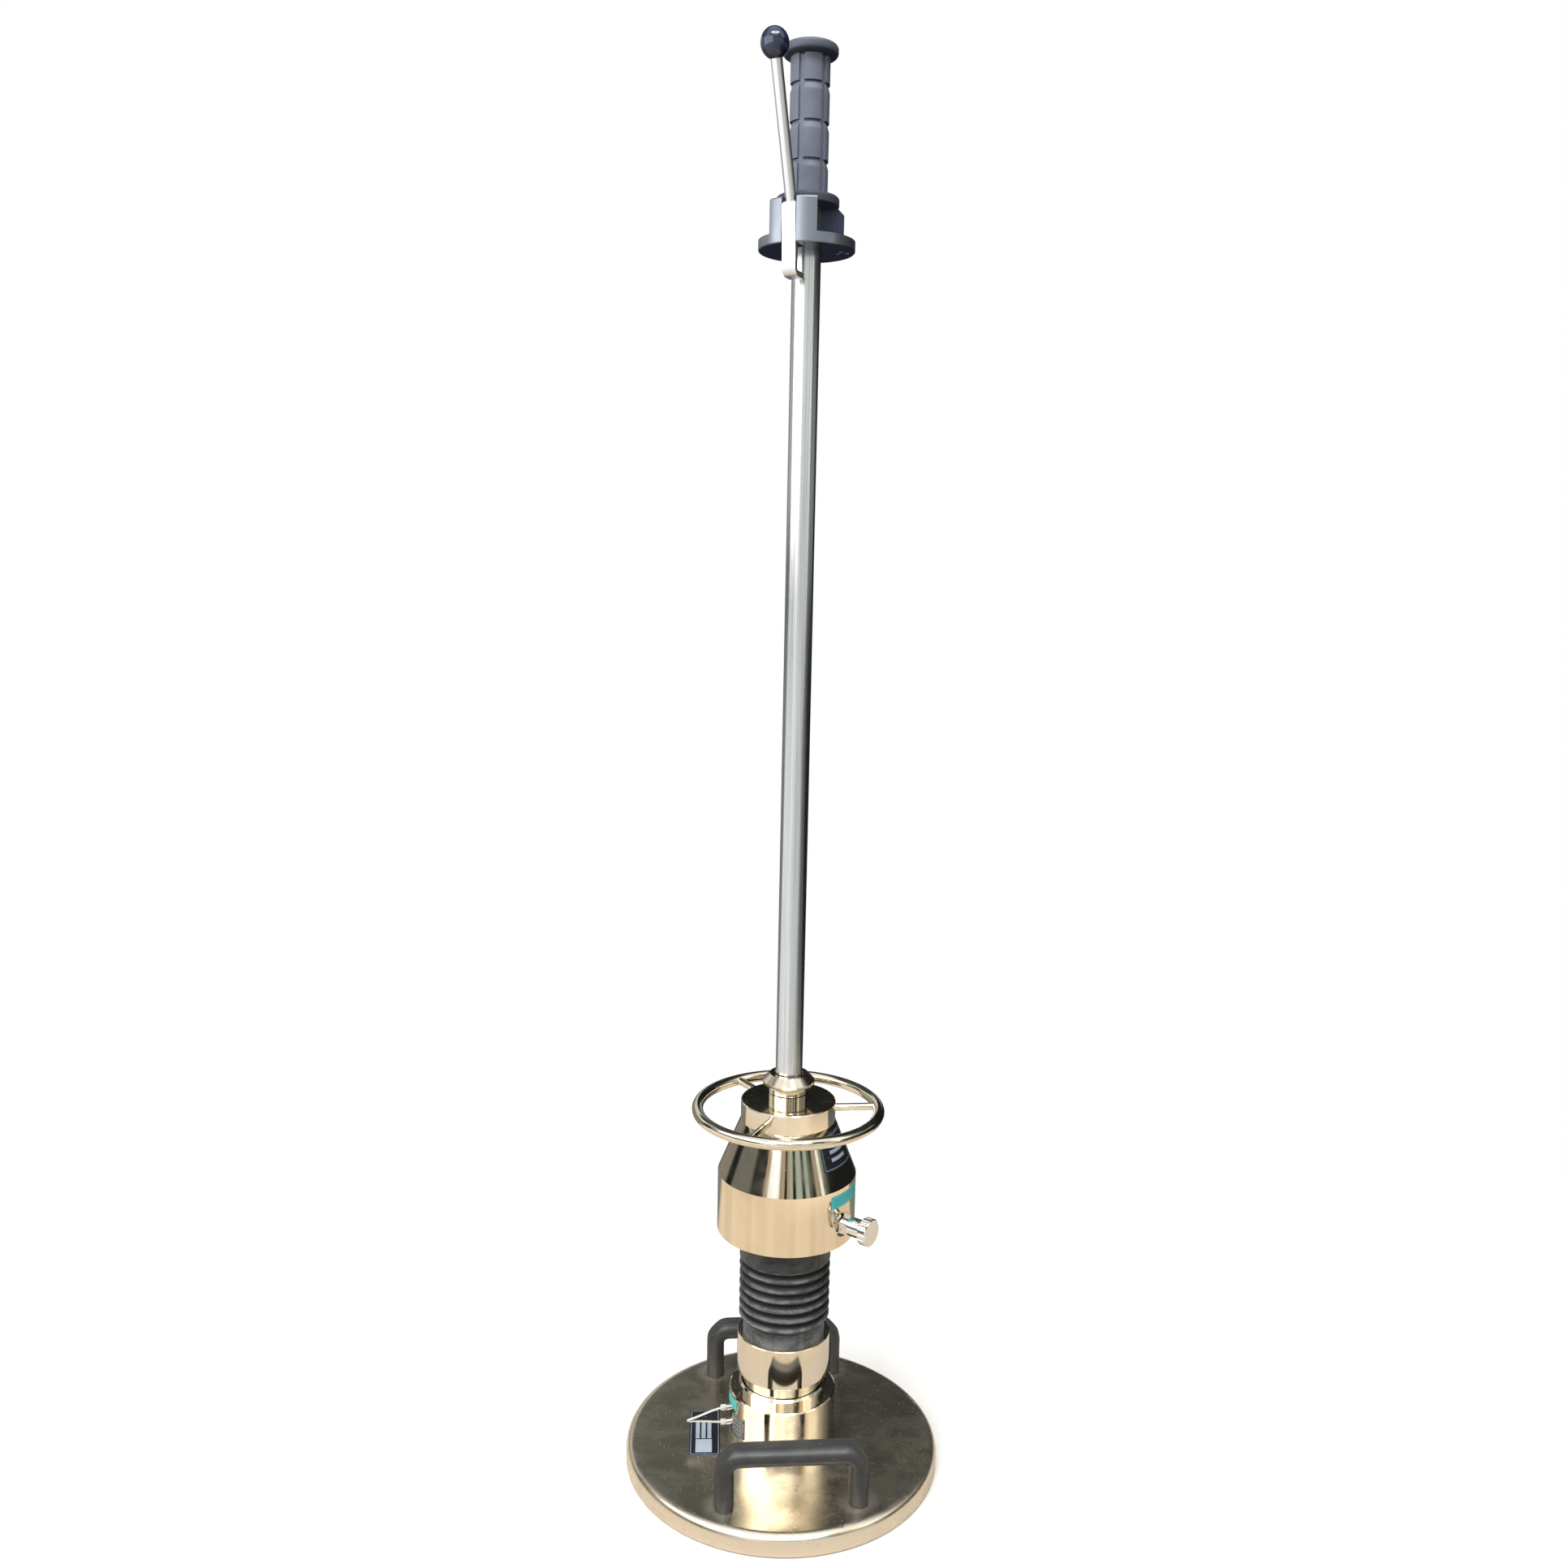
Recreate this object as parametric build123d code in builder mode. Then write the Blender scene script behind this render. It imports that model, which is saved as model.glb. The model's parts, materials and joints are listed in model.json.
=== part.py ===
from build123d import *
import os
from math import cos, radians, sin, tan

# Clearances shared by many pieces
seat_fit = 0.03              # pieces fixed in one another
running_fit = 0.06           # shaft turning or sliding in a hole
thread_fit = 0.05            # screw in its tapped hole
shank_clearance = 0.3        # screw in its plain hole

# Load plate
plate_diameter = 300
plate_thickness = 20
plate_rim_radius = 8
plate_foot_chamfer = 1

# Sensor housing on the plate
hub_diameter = 102
hub_height = 51
hub_wall = 15
hub_edge = 1.2
hub_screw_count = 6
hub_screw_diameter = 6
hub_screw_head = 11.5
hub_screw_bite = 14
ring_height = 7.5
ring_wall = 2.7
ring_clearance = 0.8
ring_chamfer = 1.8

# Ball seat between the plate and the loading device
ball_diameter = 20
ball_clearance = 0.3
seat_gap = 3.5
seat_wall = 6
seat_floor = 2.5
roof_web = 8

# Bridge handles
handle_turn = 2.2
handle_spacing = 121
handle_inset = 45.5
handle_height = 57.6
handle_width = 24
handle_thickness = 17.5
handle_section_radius = 8.7
handle_inner_bend = 5
handle_facet = 17
handle_screw_diameter = 8
handle_screw_head = 15
handle_screw_bite = 14
screw_sink = 0.4
countersink_clearance = 0.1
tapped_hole_spare = 3
socket_share = 0.62          # hexagon key width over screw diameter
socket_depth = 2.4

# Accelerometer, its lead and the signal socket
sensor_diameter = 28
sensor_height = 19
sensor_stud_diameter = 5
sensor_stud_length = 9
lead_diameter = 3.2
lead_offset = 8
lead_bend = 5
connector_height = 25
connector_flange = 20
connector_flange_thickness = 3
connector_pocket_depth = 1.6
connector_relief_diameter = 14.6
connector_relief_length = 2
connector_barrel_diameter = 16
connector_barrel_length = 10
connector_mouth_diameter = 12.4
connector_mouth_depth = 8
connector_tail_diameter = 12
connector_tail_spare = 2
contact_count = 5
contact_diameter = 1.3
contact_circle = 6.4
contact_depth = 1.5
insert_thickness = 3
flange_screw_diameter = 2.5
flange_screw_spacing = 15
flange_screw_head = 4.4
flange_screw_head_height = 1.5
flange_screw_bite = 7

# Seal screws and nylon seal tie on the housing
seal_angle = 189
seal_screw_heights = (17, 32)
seal_screw_diameter = 4
seal_screw_head = 6
seal_screw_head_length = 4
seal_screw_bite = 8
tie_reach = 38
tie_tip_height = 22
tie_width = 3
tie_thickness = 1.3
tie_fold_radius = 1.2
tie_block = 6
tie_block_length = 5

# Labels and nameplates
label_thickness = 0.3
label_gap = 0.15
plate_label_width = 30
plate_label_length = 71
plate_label_reach = 74.5
hub_strip_height = 9
hub_strip_base = 38
hub_strip_angles = (184.6, 209.6)
hub_nameplate_height = 20
hub_nameplate_base = 13
hub_nameplate_angles = (200.6, 220.6)
weight_strip_height = 12
weight_strip_base = 40.5
weight_strip_angles = (-54, -16)
cone_label_angles = (-57, -9)
cone_label_base = 17
cone_label_height = 30

# Spring base that carries the rod
spigot_diameter = 77
spigot_height = 16.2
spigot_chamfer = 1
base_web = 3
cup_height = 38.6
cup_floor_thickness = 7.8
cup_wall = 5.1
cup_edge = 0.6
boss_height = 45
boss_clearance = 0.4
boss_screw_diameter = 6
boss_screw_height = 30

# Disc spring stack
disc_count = 20
disc_outer_diameter = 71
disc_inner_diameter = 36
disc_thickness = 4
disc_rise = 1.6
disc_gap = 0.1

# Rubber boot over the springs
boot_wall = 2.5
boot_side_gap = 0.9
cuff_fit = 0.2
cuff_insert = 17
cuff_height = 14
cuff_bead_height = 3
cuff_bead_depth = 1.3
top_cuff_height = 30.5
top_cuff_wall = 3
top_cuff_gap = 0.3
top_cuff_setback = 1
rib_count = 6
rib_depth = 2.3
rib_wall = 2.4

# Anvil that takes the blow
anvil_overhang = 4.5
anvil_thickness = 21
anvil_edge = 1
anvil_bush_wall = 3

# Guide rod
rod_diameter = 25
rod_wall = 2.5

# Drop weight
landing_gap = 0.3
weight_diameter = 130.4
barrel_height = 57
cone_height = 51
crown_diameter = 88.6
crown_height = 18.5
weight_edge = 0.8
recess_diameter = 60
recess_height = 36
bush_wall = 3
bush_setback = 1
lower_bush_length = 30

# Catch sleeve on top of the weight
sleeve_depth = 26
neck_wall = 2.4
neck_height = 16.5
neck_seam_height = 8
neck_seam_width = 1
neck_seam_depth = 0.5
collar_lip = 6.3
collar_lip_height = 2.6
collar_height = 9
collar_top_width = 4.2
sleeve_lip_height = 5
sleeve_lip_gap = 1.2

# Carrying ring
ring_diameter = 170
ring_tube_diameter = 10.4
spoke_count = 3
spoke_diameter = 7
spoke_bite = 12
spoke_angle = 2.6
weld_gap = 0.05

# Transport lock
plunger_angle = -38.5
plunger_height = 21.5
plunger_travel = 6
pin_diameter = 7
pin_chamfer = 0.8
pin_clearance = 1.7
pin_hole_clearance = 0.3
pin_knob_bite = 6
lock_collar_wall = 6
lock_collar_thickness = 6
lock_play = 0.8
lock_screw_diameter = 3
pocket_depth = 3.2
pocket_diameter = 24
bush_thread_diameter = 12
bush_thread_length = 20
bush_hex_width = 18
bush_hex_height = 5
bush_neck_diameter = 10
bush_neck_overlap = 1.5
knob_gap = 0.3
knob_barrel_diameter = 17.4
knob_barrel_length = 13.5
knob_cap_diameter = 25.5
knob_cap_length = 9
knob_cap_edge = 1
knob_flute_count = 18
knob_flute_depth = 0.6
knob_flute_diameter = 3

# Release head
drop_height = 720
hook_play = 0.3
hook_drop = 21.2
head_diameter = 83
head_height = 36.5
head_turn = -3.4
flange_height = 8.5
flange_edge = 0.8
body_width = 63
head_edge = 1.5
head_shoulder = 6
notch_offset = 8
head_screw_diameter = 6
head_screw_length = 14
head_screw_heights = (14, 26)

# Release lever
lever_angle = 244.6
lever_width = 12
lever_thickness = 5
lever_inset = 2
lever_taper = 36
lever_slot_side = 0.6
lever_top_setback = 1.5
lever_swing = 12
lever_bevel = 1.2
hook_thickness = 5
hook_clearance = 1.6
hook_bevel = 2.5
hook_corner = 8.5
hook_inner_corner = 2
lug_radius = 5.2
lug_width = 8.4
lug_slot_gap = 1
block_depth = 10
block_height = 11
pivot_height = 26
pivot_diameter = 5
pivot_bite = 8
pivot_end_gap = 0.4
stop_diameter = 3
stop_bite = 5
stop_gap = 0.05
return_spring_diameter = 8.4
return_spring_gap = 0.8
spring_side_gap = 0.15
lever_tilt = 20
lever_rod_diameter = 9.5
lever_rod_length = 105
lever_stud_diameter = 6
lever_stud_length = 8
ball_knob_diameter = 23
ball_knob_length = 23
ball_knob_base = 11
ball_knob_bite = 11

# Rubber grip over the rod's top
grip_length = 130
grip_diameter = 33.6
grip_cap = 12
grip_cap_diameter = 47
grip_cap_underside = 10
grip_cap_corner = 4.6
grip_foot_diameter = 54
grip_foot_thickness = 8
grip_foot_corner = 3
grip_row_pitch = 30.5
grip_first_row = 28
grip_row_count = 4
grip_row_taper = 0.7
grip_groove_depth = 1.6
grip_groove_height = 1.2
grip_column_count = 5
grip_column_angle = 240.6
grip_column_width = 4
grip_column_depth = 1.2

# Heights of the load plate and its housing
plate_top = plate_thickness
hub_radius = hub_diameter / 2
hub_top = plate_top + hub_height
ball_radius = ball_diameter / 2
ball_height = hub_top + seat_gap / 2
seat_radius = ball_radius + seat_wall
seat_depth = ball_radius + ball_clearance - seat_gap / 2 + seat_floor
chamber_radius = hub_radius - hub_wall
chamber_top = hub_top - seat_depth - roof_web
spigot_radius = spigot_diameter / 2
locating_inner = spigot_radius + ring_clearance
locating_outer = locating_inner + ring_wall
locating_top = hub_top + ring_height

# Heights and radii of the spring base, springs, boot and anvil
rod_radius = rod_diameter / 2
base_bottom = hub_top + seat_gap
rod_bottom = base_bottom + seat_depth + base_web
cup_bottom = base_bottom + spigot_height
cup_floor = cup_bottom + cup_floor_thickness
cup_top = cup_bottom + cup_height
disc_radius = disc_outer_diameter / 2
disc_pitch = disc_thickness + disc_rise + disc_gap
stack_bottom = cup_floor + disc_gap
cuff_bore = disc_radius + boot_side_gap
cuff_radius = cuff_bore + boot_wall
cup_inner = cuff_radius + cuff_fit
cup_radius = cup_inner + cup_wall
boss_radius = disc_inner_diameter / 2 - boss_clearance
boss_top = cup_floor + boss_height
anvil_bottom = stack_bottom + disc_count * disc_pitch
anvil_top = anvil_bottom + anvil_thickness
anvil_radius = disc_radius + anvil_overhang
boot_bottom = cup_top - cuff_insert
boot_top = anvil_top - top_cuff_setback
boot_crest = anvil_radius + top_cuff_gap + top_cuff_wall
boot_valley = boot_crest - rib_depth
rib_bottom = cup_top + cuff_height
rib_top = boot_top - top_cuff_height
rib_pitch = (rib_top - rib_bottom) / rib_count

# Heights and radii of the drop weight
weight_radius = weight_diameter / 2
crown_radius = crown_diameter / 2
weight_bottom = anvil_top + landing_gap
barrel_top = weight_bottom + barrel_height
crown_bottom = barrel_top + cone_height
crown_top = crown_bottom + crown_height
recess_top = weight_bottom + recess_height
bush_inner = rod_radius + running_fit
bush_outer = bush_inner + bush_wall
weight_bore = bush_outer + running_fit
neck_radius = weight_bore + neck_wall
neck_top = crown_top + neck_height
neck_seam = crown_top + neck_seam_height
collar_radius = neck_radius + collar_lip
collar_top = neck_top + collar_height
sleeve_bottom = crown_top - sleeve_depth
sleeve_lip = rod_radius + sleeve_lip_gap
ring_height_mid = crown_bottom + crown_height / 2

# Places along the lock plunger, measured outward from the rod axis
plunger_z = weight_bottom + plunger_height
pin_radius = pin_diameter / 2
lock_collar_radius = rod_radius + lock_collar_wall
lock_collar_bottom = plunger_z + pin_radius + lock_play
pin_tip = lock_collar_radius + pin_clearance
pocket_floor = weight_radius - pocket_depth
hex_face = pocket_floor + bush_hex_height
bush_inner_end = pocket_floor - bush_thread_length
knob_start = hex_face + plunger_travel + knob_gap
bush_neck_end = knob_start + bush_neck_overlap
knob_hollow_end = bush_neck_end + plunger_travel + knob_gap
knob_barrel_end = knob_start + knob_barrel_length
knob_end = knob_barrel_end + knob_cap_length

# Heights of the release head, lever and grip
hook_top = neck_top + drop_height - hook_play
hook_bottom = hook_top - hook_thickness
hook_tip = neck_radius + hook_clearance
flange_bottom = hook_top + hook_drop
flange_top = flange_bottom + flange_height
head_radius = head_diameter / 2
head_top = flange_bottom + head_height
lever_front = head_radius - lever_inset
lever_back = lever_front - lever_thickness
lever_top = head_top - lever_top_setback
block_back = head_radius - block_depth
block_bottom = lever_top - block_height
block_offset = return_spring_diameter / 2 + return_spring_gap
pivot_reach = block_back - block_offset
pivot_z = flange_bottom + pivot_height
slot_width = lever_width + 2 * lever_slot_side
slot_inner = pivot_reach - lug_radius - lug_slot_gap
stop_radius = stop_diameter / 2
upper_stop_rise = lug_radius + stop_diameter
upper_stop_reach = pivot_reach + (block_offset - stop_radius - stop_gap
                                  - upper_stop_rise * sin(radians(lever_swing))) / cos(radians(lever_swing))
stop_spots = [(lever_back - stop_radius - stop_gap, flange_bottom + flange_height / 2),
              (upper_stop_reach, pivot_z + upper_stop_rise)]
grip_radius = grip_diameter / 2
grip_top = head_top + grip_length
rod_top = grip_top - grip_cap

os.makedirs("parts", exist_ok=True)


def save(piece, name):
    """Label a finished piece and write it as its own STEP file."""
    piece.part.label = name
    export_step(piece.part, f"parts/{name}.step")


def turned(*corners, plane=Plane.XZ):
    """Half profile of a turned piece, as (radius, height) corners."""
    with BuildSketch(plane) as half:
        with BuildLine():
            Polyline(*corners, close=True)
        make_face()
    return half.sketch


def upright_plane(angle):
    """Plane through the rod axis: local x points outward at the plan angle, local y up."""
    outward = (cos(radians(angle)), sin(radians(angle)), 0)
    sideways = (sin(radians(angle)), -cos(radians(angle)), 0)
    return Plane((0, 0, 0), x_dir=outward, z_dir=sideways)


def facing_plane(angle, reach, height):
    """Plane that faces outward at the plan angle, at a distance from the rod axis; local x up."""
    outward = Vector(cos(radians(angle)), sin(radians(angle)), 0)
    return Plane(outward * reach + Vector(0, 0, height), x_dir=(0, 0, 1), z_dir=outward)


def sleeve(inner, outer, bottom, top):
    """Half profile of a plain ring or bush."""
    return turned((inner, bottom), (outer, bottom), (outer, top), (inner, top))


def countersunk_screw(diameter, head, bite):
    """One upright countersunk screw that starts under the plate and ends in the piece above it."""
    shank = diameter / 2
    cone = head / 2
    tip = plate_top + bite
    with BuildPart() as screw:
        revolve(turned((0, screw_sink), (cone, screw_sink), (shank, screw_sink + cone - shank),
                       (shank, tip), (0, tip)))
        with BuildSketch(Plane.XY.offset(screw_sink)):
            RegularPolygon(diameter * socket_share / 2, 6, major_radius=False)
        extrude(amount=socket_depth, mode=Mode.SUBTRACT)
    return screw.part


def grub_screw(angle, height, start, diameter, length):
    """One headless screw that points at the rod from a plan angle."""
    with BuildPart() as screw:
        with BuildSketch(facing_plane(angle, start, height)):
            Circle(diameter / 2)
        extrude(amount=length)
        with BuildSketch(facing_plane(angle, start + length, height)):
            RegularPolygon(diameter * socket_share / 2, 6, major_radius=False)
        extrude(amount=-min(socket_depth, length / 2), mode=Mode.SUBTRACT)
    return screw.part


def wrapped_label(corners, angles):
    """Thin sheet turned about the rod axis between two plan angles."""
    with BuildPart() as sheet:
        revolve(turned(*corners).rotate(Axis.Z, angles[0]), axis=Axis.Z,
                revolution_arc=angles[1] - angles[0])
    return sheet


# Screw places under the plate
handle_reach = plate_diameter / 2 - handle_inset
handle_across = Vector(cos(radians(handle_turn)), sin(radians(handle_turn)), 0)
handle_outward = Vector(-sin(radians(handle_turn)), cos(radians(handle_turn)), 0)
handle_spots = [(spot.X, spot.Y) for y in (-1, 1) for x in (-1, 1)
                for spot in [handle_across * (x * handle_spacing / 2) + handle_outward * (y * handle_reach)]]
hub_screw_reach = hub_radius - hub_wall / 2
hub_screw_turn = 360 / hub_screw_count
hub_spots = [(hub_screw_reach * cos(radians(hub_screw_turn * (i + 0.5))),
              hub_screw_reach * sin(radians(hub_screw_turn * (i + 0.5)))) for i in range(hub_screw_count)]


# Load plate
with BuildPart() as load_plate:
    Cylinder(plate_diameter / 2, plate_thickness, align=(Align.CENTER, Align.CENTER, Align.MIN))
    fillet(load_plate.edges().group_by(Axis.Z)[-1], plate_rim_radius)
    chamfer(load_plate.edges().group_by(Axis.Z)[0], plate_foot_chamfer)
    for spots, diameter, head in ((handle_spots, handle_screw_diameter, handle_screw_head),
                                  (hub_spots, hub_screw_diameter, hub_screw_head)):
        with Locations(*[Plane((x, y, 0), z_dir=(0, 0, -1)).location for x, y in spots]):
            CounterSinkHole(diameter / 2 + shank_clearance,
                            head / 2 + screw_sink + countersink_clearance, counter_sink_angle=90)
    with BuildSketch(Plane.XY.offset(plate_top)):
        Circle(sensor_stud_diameter / 2 + thread_fit)
    extrude(amount=-sensor_stud_length - tapped_hole_spare, mode=Mode.SUBTRACT)
save(load_plate, "load_plate")

# Sensor housing with its locating ring
connector_z = plate_top + connector_height
connector_floor = hub_radius - connector_pocket_depth
with BuildPart() as sensor_housing:
    revolve(turned((chamber_radius, plate_top), (hub_radius, plate_top), (hub_radius, hub_top - hub_edge),
                   (hub_radius - hub_edge, hub_top), (locating_outer, hub_top),
                   (locating_outer, locating_top - ring_chamfer),
                   (locating_outer - ring_chamfer, locating_top), (locating_inner, locating_top),
                   (locating_inner, hub_top), (seat_radius + seat_fit, hub_top),
                   (seat_radius + seat_fit, hub_top - seat_depth), (0, hub_top - seat_depth),
                   (0, chamber_top), (chamber_radius, chamber_top)))
    with BuildSketch(Plane.XY.offset(plate_top)):
        with Locations(*hub_spots):
            Circle(hub_screw_diameter / 2 + thread_fit)
    extrude(amount=hub_screw_bite + tapped_hole_spare, mode=Mode.SUBTRACT)
    with BuildSketch(facing_plane(90, connector_floor, connector_z)):
        Rectangle(connector_flange + 2 * shank_clearance, connector_flange + 2 * shank_clearance)
    extrude(amount=hub_wall, mode=Mode.SUBTRACT)
    with BuildSketch(facing_plane(90, connector_floor, connector_z)):
        Circle(connector_tail_diameter / 2 + shank_clearance)
    extrude(amount=-hub_wall, mode=Mode.SUBTRACT)
    with BuildSketch(facing_plane(90, connector_floor, connector_z)):
        with GridLocations(flange_screw_spacing, flange_screw_spacing, 2, 2):
            Circle(flange_screw_diameter / 2 + thread_fit)
    extrude(amount=-flange_screw_bite - thread_fit, mode=Mode.SUBTRACT)
    for height in seal_screw_heights:
        with BuildSketch(facing_plane(seal_angle, hub_radius, plate_top + height)):
            Circle(seal_screw_diameter / 2 + thread_fit)
        extrude(amount=-seal_screw_bite - thread_fit, mode=Mode.SUBTRACT)
save(sensor_housing, "sensor_housing")

# Hardened seats above and below the ball
with BuildPart() as ball_seat:
    revolve(turned((0, hub_top - seat_depth), (seat_radius, hub_top - seat_depth),
                   (seat_radius, hub_top), (0, hub_top)))
    with Locations((0, 0, ball_height)):
        Sphere(ball_radius + ball_clearance, mode=Mode.SUBTRACT)
save(ball_seat, "ball_seat")

with BuildPart() as base_seat:
    revolve(turned((0, base_bottom), (seat_radius, base_bottom),
                   (seat_radius, base_bottom + seat_depth), (0, base_bottom + seat_depth)))
    with Locations((0, 0, ball_height)):
        Sphere(ball_radius + ball_clearance, mode=Mode.SUBTRACT)
save(base_seat, "base_seat")

with BuildPart() as centring_ball:
    with Locations((0, 0, ball_height)):
        Sphere(ball_radius)
save(centring_ball, "centring_ball")

# Bridge handles with faceted outer bends
bar_axis = handle_height - handle_thickness / 2
bar_half = handle_spacing / 2
outer_half = bar_half + handle_thickness / 2
for handle_name, handle_y in (("front_handle", -handle_reach), ("rear_handle", handle_reach)):
    handle_middle = handle_outward * handle_y + Vector(0, 0, plate_top)
    bow_plane = Plane(handle_middle, x_dir=handle_across, z_dir=-handle_outward)
    foot_plane = Plane(handle_middle, x_dir=handle_across, z_dir=(0, 0, 1))
    with BuildPart() as handle:
        with BuildLine(bow_plane) as bow:
            FilletPolyline((-bar_half, 0), (-bar_half, bar_axis), (bar_half, bar_axis), (bar_half, 0),
                           radius=handle_inner_bend + handle_thickness / 2)
        with BuildSketch(foot_plane):
            with Locations((-bar_half, 0)):
                RectangleRounded(handle_thickness, handle_width, handle_section_radius)
        sweep(path=bow.line)
        for side in (-1, 1):
            with BuildSketch(bow_plane):
                with BuildLine():
                    Polyline((side * outer_half, handle_height),
                             (side * (outer_half - handle_facet), handle_height),
                             (side * outer_half, handle_height - handle_facet), close=True)
                make_face()
            extrude(amount=handle_width, both=True, mode=Mode.SUBTRACT)
        with BuildSketch(foot_plane):
            with Locations((-bar_half, 0), (bar_half, 0)):
                Circle(handle_screw_diameter / 2 + thread_fit)
        extrude(amount=handle_screw_bite + tapped_hole_spare, mode=Mode.SUBTRACT)
    save(handle, handle_name)

# Screws that hold the handles and the housing from below
handle_screw = countersunk_screw(handle_screw_diameter, handle_screw_head, handle_screw_bite)
with BuildPart() as handle_screws:
    with Locations(*handle_spots):
        add(handle_screw)
save(handle_screws, "handle_screws")

hub_screw = countersunk_screw(hub_screw_diameter, hub_screw_head, hub_screw_bite)
with BuildPart() as housing_screws:
    with Locations(*hub_spots):
        add(hub_screw)
save(housing_screws, "housing_screws")

# Accelerometer on its stud
with BuildPart() as accelerometer:
    with BuildSketch(Plane.XY.offset(plate_top)):
        Circle(sensor_diameter / 2)
    extrude(amount=sensor_height)
    chamfer(accelerometer.edges().group_by(Axis.Z)[-1], hub_edge)
    with BuildSketch(Plane.XY.offset(plate_top)):
        Circle(sensor_stud_diameter / 2)
    extrude(amount=-sensor_stud_length)
save(accelerometer, "accelerometer")

# Lead from the accelerometer to the socket
connector_tail_end = chamber_radius - connector_tail_spare
lead_bottom = plate_top + sensor_height
with BuildPart() as sensor_lead:
    with BuildLine(upright_plane(90)) as lead_route:
        FilletPolyline((lead_offset, lead_bottom), (lead_offset, connector_z),
                       (connector_tail_end, connector_z),
                       radius=min(lead_bend, (connector_z - lead_bottom) * 0.9))
    with BuildSketch(facing_plane(90, connector_tail_end, connector_z)):
        Circle(lead_diameter / 2)
    sweep(path=lead_route.line)
save(sensor_lead, "sensor_lead")

# Signal socket in the back of the housing
flange_face = connector_floor + connector_flange_thickness
barrel_start = flange_face + connector_relief_length
barrel_end = barrel_start + connector_barrel_length
mouth_floor = barrel_end - connector_mouth_depth
with BuildPart() as signal_socket:
    with BuildSketch(facing_plane(90, connector_floor, connector_z)):
        Rectangle(connector_flange, connector_flange)
    extrude(amount=connector_flange_thickness)
    with BuildSketch(facing_plane(90, flange_face, connector_z)):
        Circle(connector_relief_diameter / 2)
    extrude(amount=connector_relief_length)
    with BuildSketch(facing_plane(90, barrel_start, connector_z)):
        Circle(connector_barrel_diameter / 2)
    extrude(amount=connector_barrel_length)
    with BuildSketch(facing_plane(90, connector_floor, connector_z)):
        Circle(connector_tail_diameter / 2)
    extrude(amount=connector_tail_end - connector_floor)
    with BuildSketch(facing_plane(90, barrel_end, connector_z)):
        Circle(connector_mouth_diameter / 2)
    extrude(amount=-connector_mouth_depth - insert_thickness, mode=Mode.SUBTRACT)
    with BuildSketch(facing_plane(90, flange_face, connector_z)):
        with GridLocations(flange_screw_spacing, flange_screw_spacing, 2, 2):
            Circle(flange_screw_diameter / 2 + thread_fit)
    extrude(amount=-connector_flange_thickness, mode=Mode.SUBTRACT)
save(signal_socket, "signal_socket")

with BuildPart() as socket_insert:
    with BuildSketch(facing_plane(90, mouth_floor, connector_z)):
        Circle(connector_mouth_diameter / 2 - seat_fit)
    extrude(amount=-insert_thickness)
    with BuildSketch(facing_plane(90, mouth_floor, connector_z)):
        with PolarLocations(contact_circle / 2, contact_count):
            Circle(contact_diameter / 2)
    extrude(amount=-contact_depth, mode=Mode.SUBTRACT)
save(socket_insert, "socket_insert")

with BuildPart() as socket_screws:
    with BuildSketch(facing_plane(90, flange_face, connector_z)):
        with GridLocations(flange_screw_spacing, flange_screw_spacing, 2, 2):
            Circle(flange_screw_head / 2)
    extrude(amount=flange_screw_head_height)
    with BuildSketch(facing_plane(90, flange_face, connector_z)):
        with GridLocations(flange_screw_spacing, flange_screw_spacing, 2, 2):
            Circle(flange_screw_diameter / 2)
    extrude(amount=-connector_flange_thickness - flange_screw_bite)
    with BuildSketch(facing_plane(90, flange_face + flange_screw_head_height, connector_z)):
        with GridLocations(flange_screw_spacing, flange_screw_spacing, 2, 2):
            RegularPolygon(flange_screw_diameter * socket_share / 2, 6, major_radius=False)
    extrude(amount=-flange_screw_head_height, mode=Mode.SUBTRACT)
save(socket_screws, "socket_screws")

# Drilled seal screws and the nylon tie between them
seal_face = hub_radius + seal_screw_head_length
with BuildPart() as seal_screws:
    for height in seal_screw_heights:
        with BuildSketch(facing_plane(seal_angle, hub_radius, plate_top + height)):
            Circle(seal_screw_diameter / 2)
        extrude(amount=-seal_screw_bite)
        with BuildSketch(facing_plane(seal_angle, hub_radius, plate_top + height)):
            Circle(seal_screw_head / 2)
        extrude(amount=seal_screw_head_length)
save(seal_screws, "seal_screws")

tie_arm_start = seal_face + tie_block_length / 2
with BuildPart() as seal_tie:
    with BuildSketch(upright_plane(seal_angle)):
        with BuildLine():
            FilletPolyline((tie_arm_start, plate_top + seal_screw_heights[0]),
                           (seal_face + tie_reach, plate_top + tie_tip_height),
                           (tie_arm_start, plate_top + seal_screw_heights[1]), radius=tie_fold_radius)
        trace(line_width=tie_thickness)
    extrude(amount=tie_width / 2, both=True)
    for height in seal_screw_heights:
        with BuildSketch(facing_plane(seal_angle, seal_face, plate_top + height)):
            RectangleRounded(tie_block, tie_block, tie_thickness)
        extrude(amount=tie_block_length)
save(seal_tie, "seal_tie")

# Labels on the plate and the housing
with BuildPart() as plate_label:
    with BuildSketch(Plane((-plate_label_reach, 0, plate_top))):
        RectangleRounded(plate_label_width, plate_label_length, label_thickness)
    extrude(amount=label_thickness)
save(plate_label, "plate_label")

strip_bottom = plate_top + hub_strip_base
hub_skin = hub_radius + label_gap
hub_strip = wrapped_label(((hub_skin, strip_bottom), (hub_skin + label_thickness, strip_bottom),
                           (hub_skin + label_thickness, strip_bottom + hub_strip_height),
                           (hub_skin, strip_bottom + hub_strip_height)), hub_strip_angles)
save(hub_strip, "hub_strip")

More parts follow.
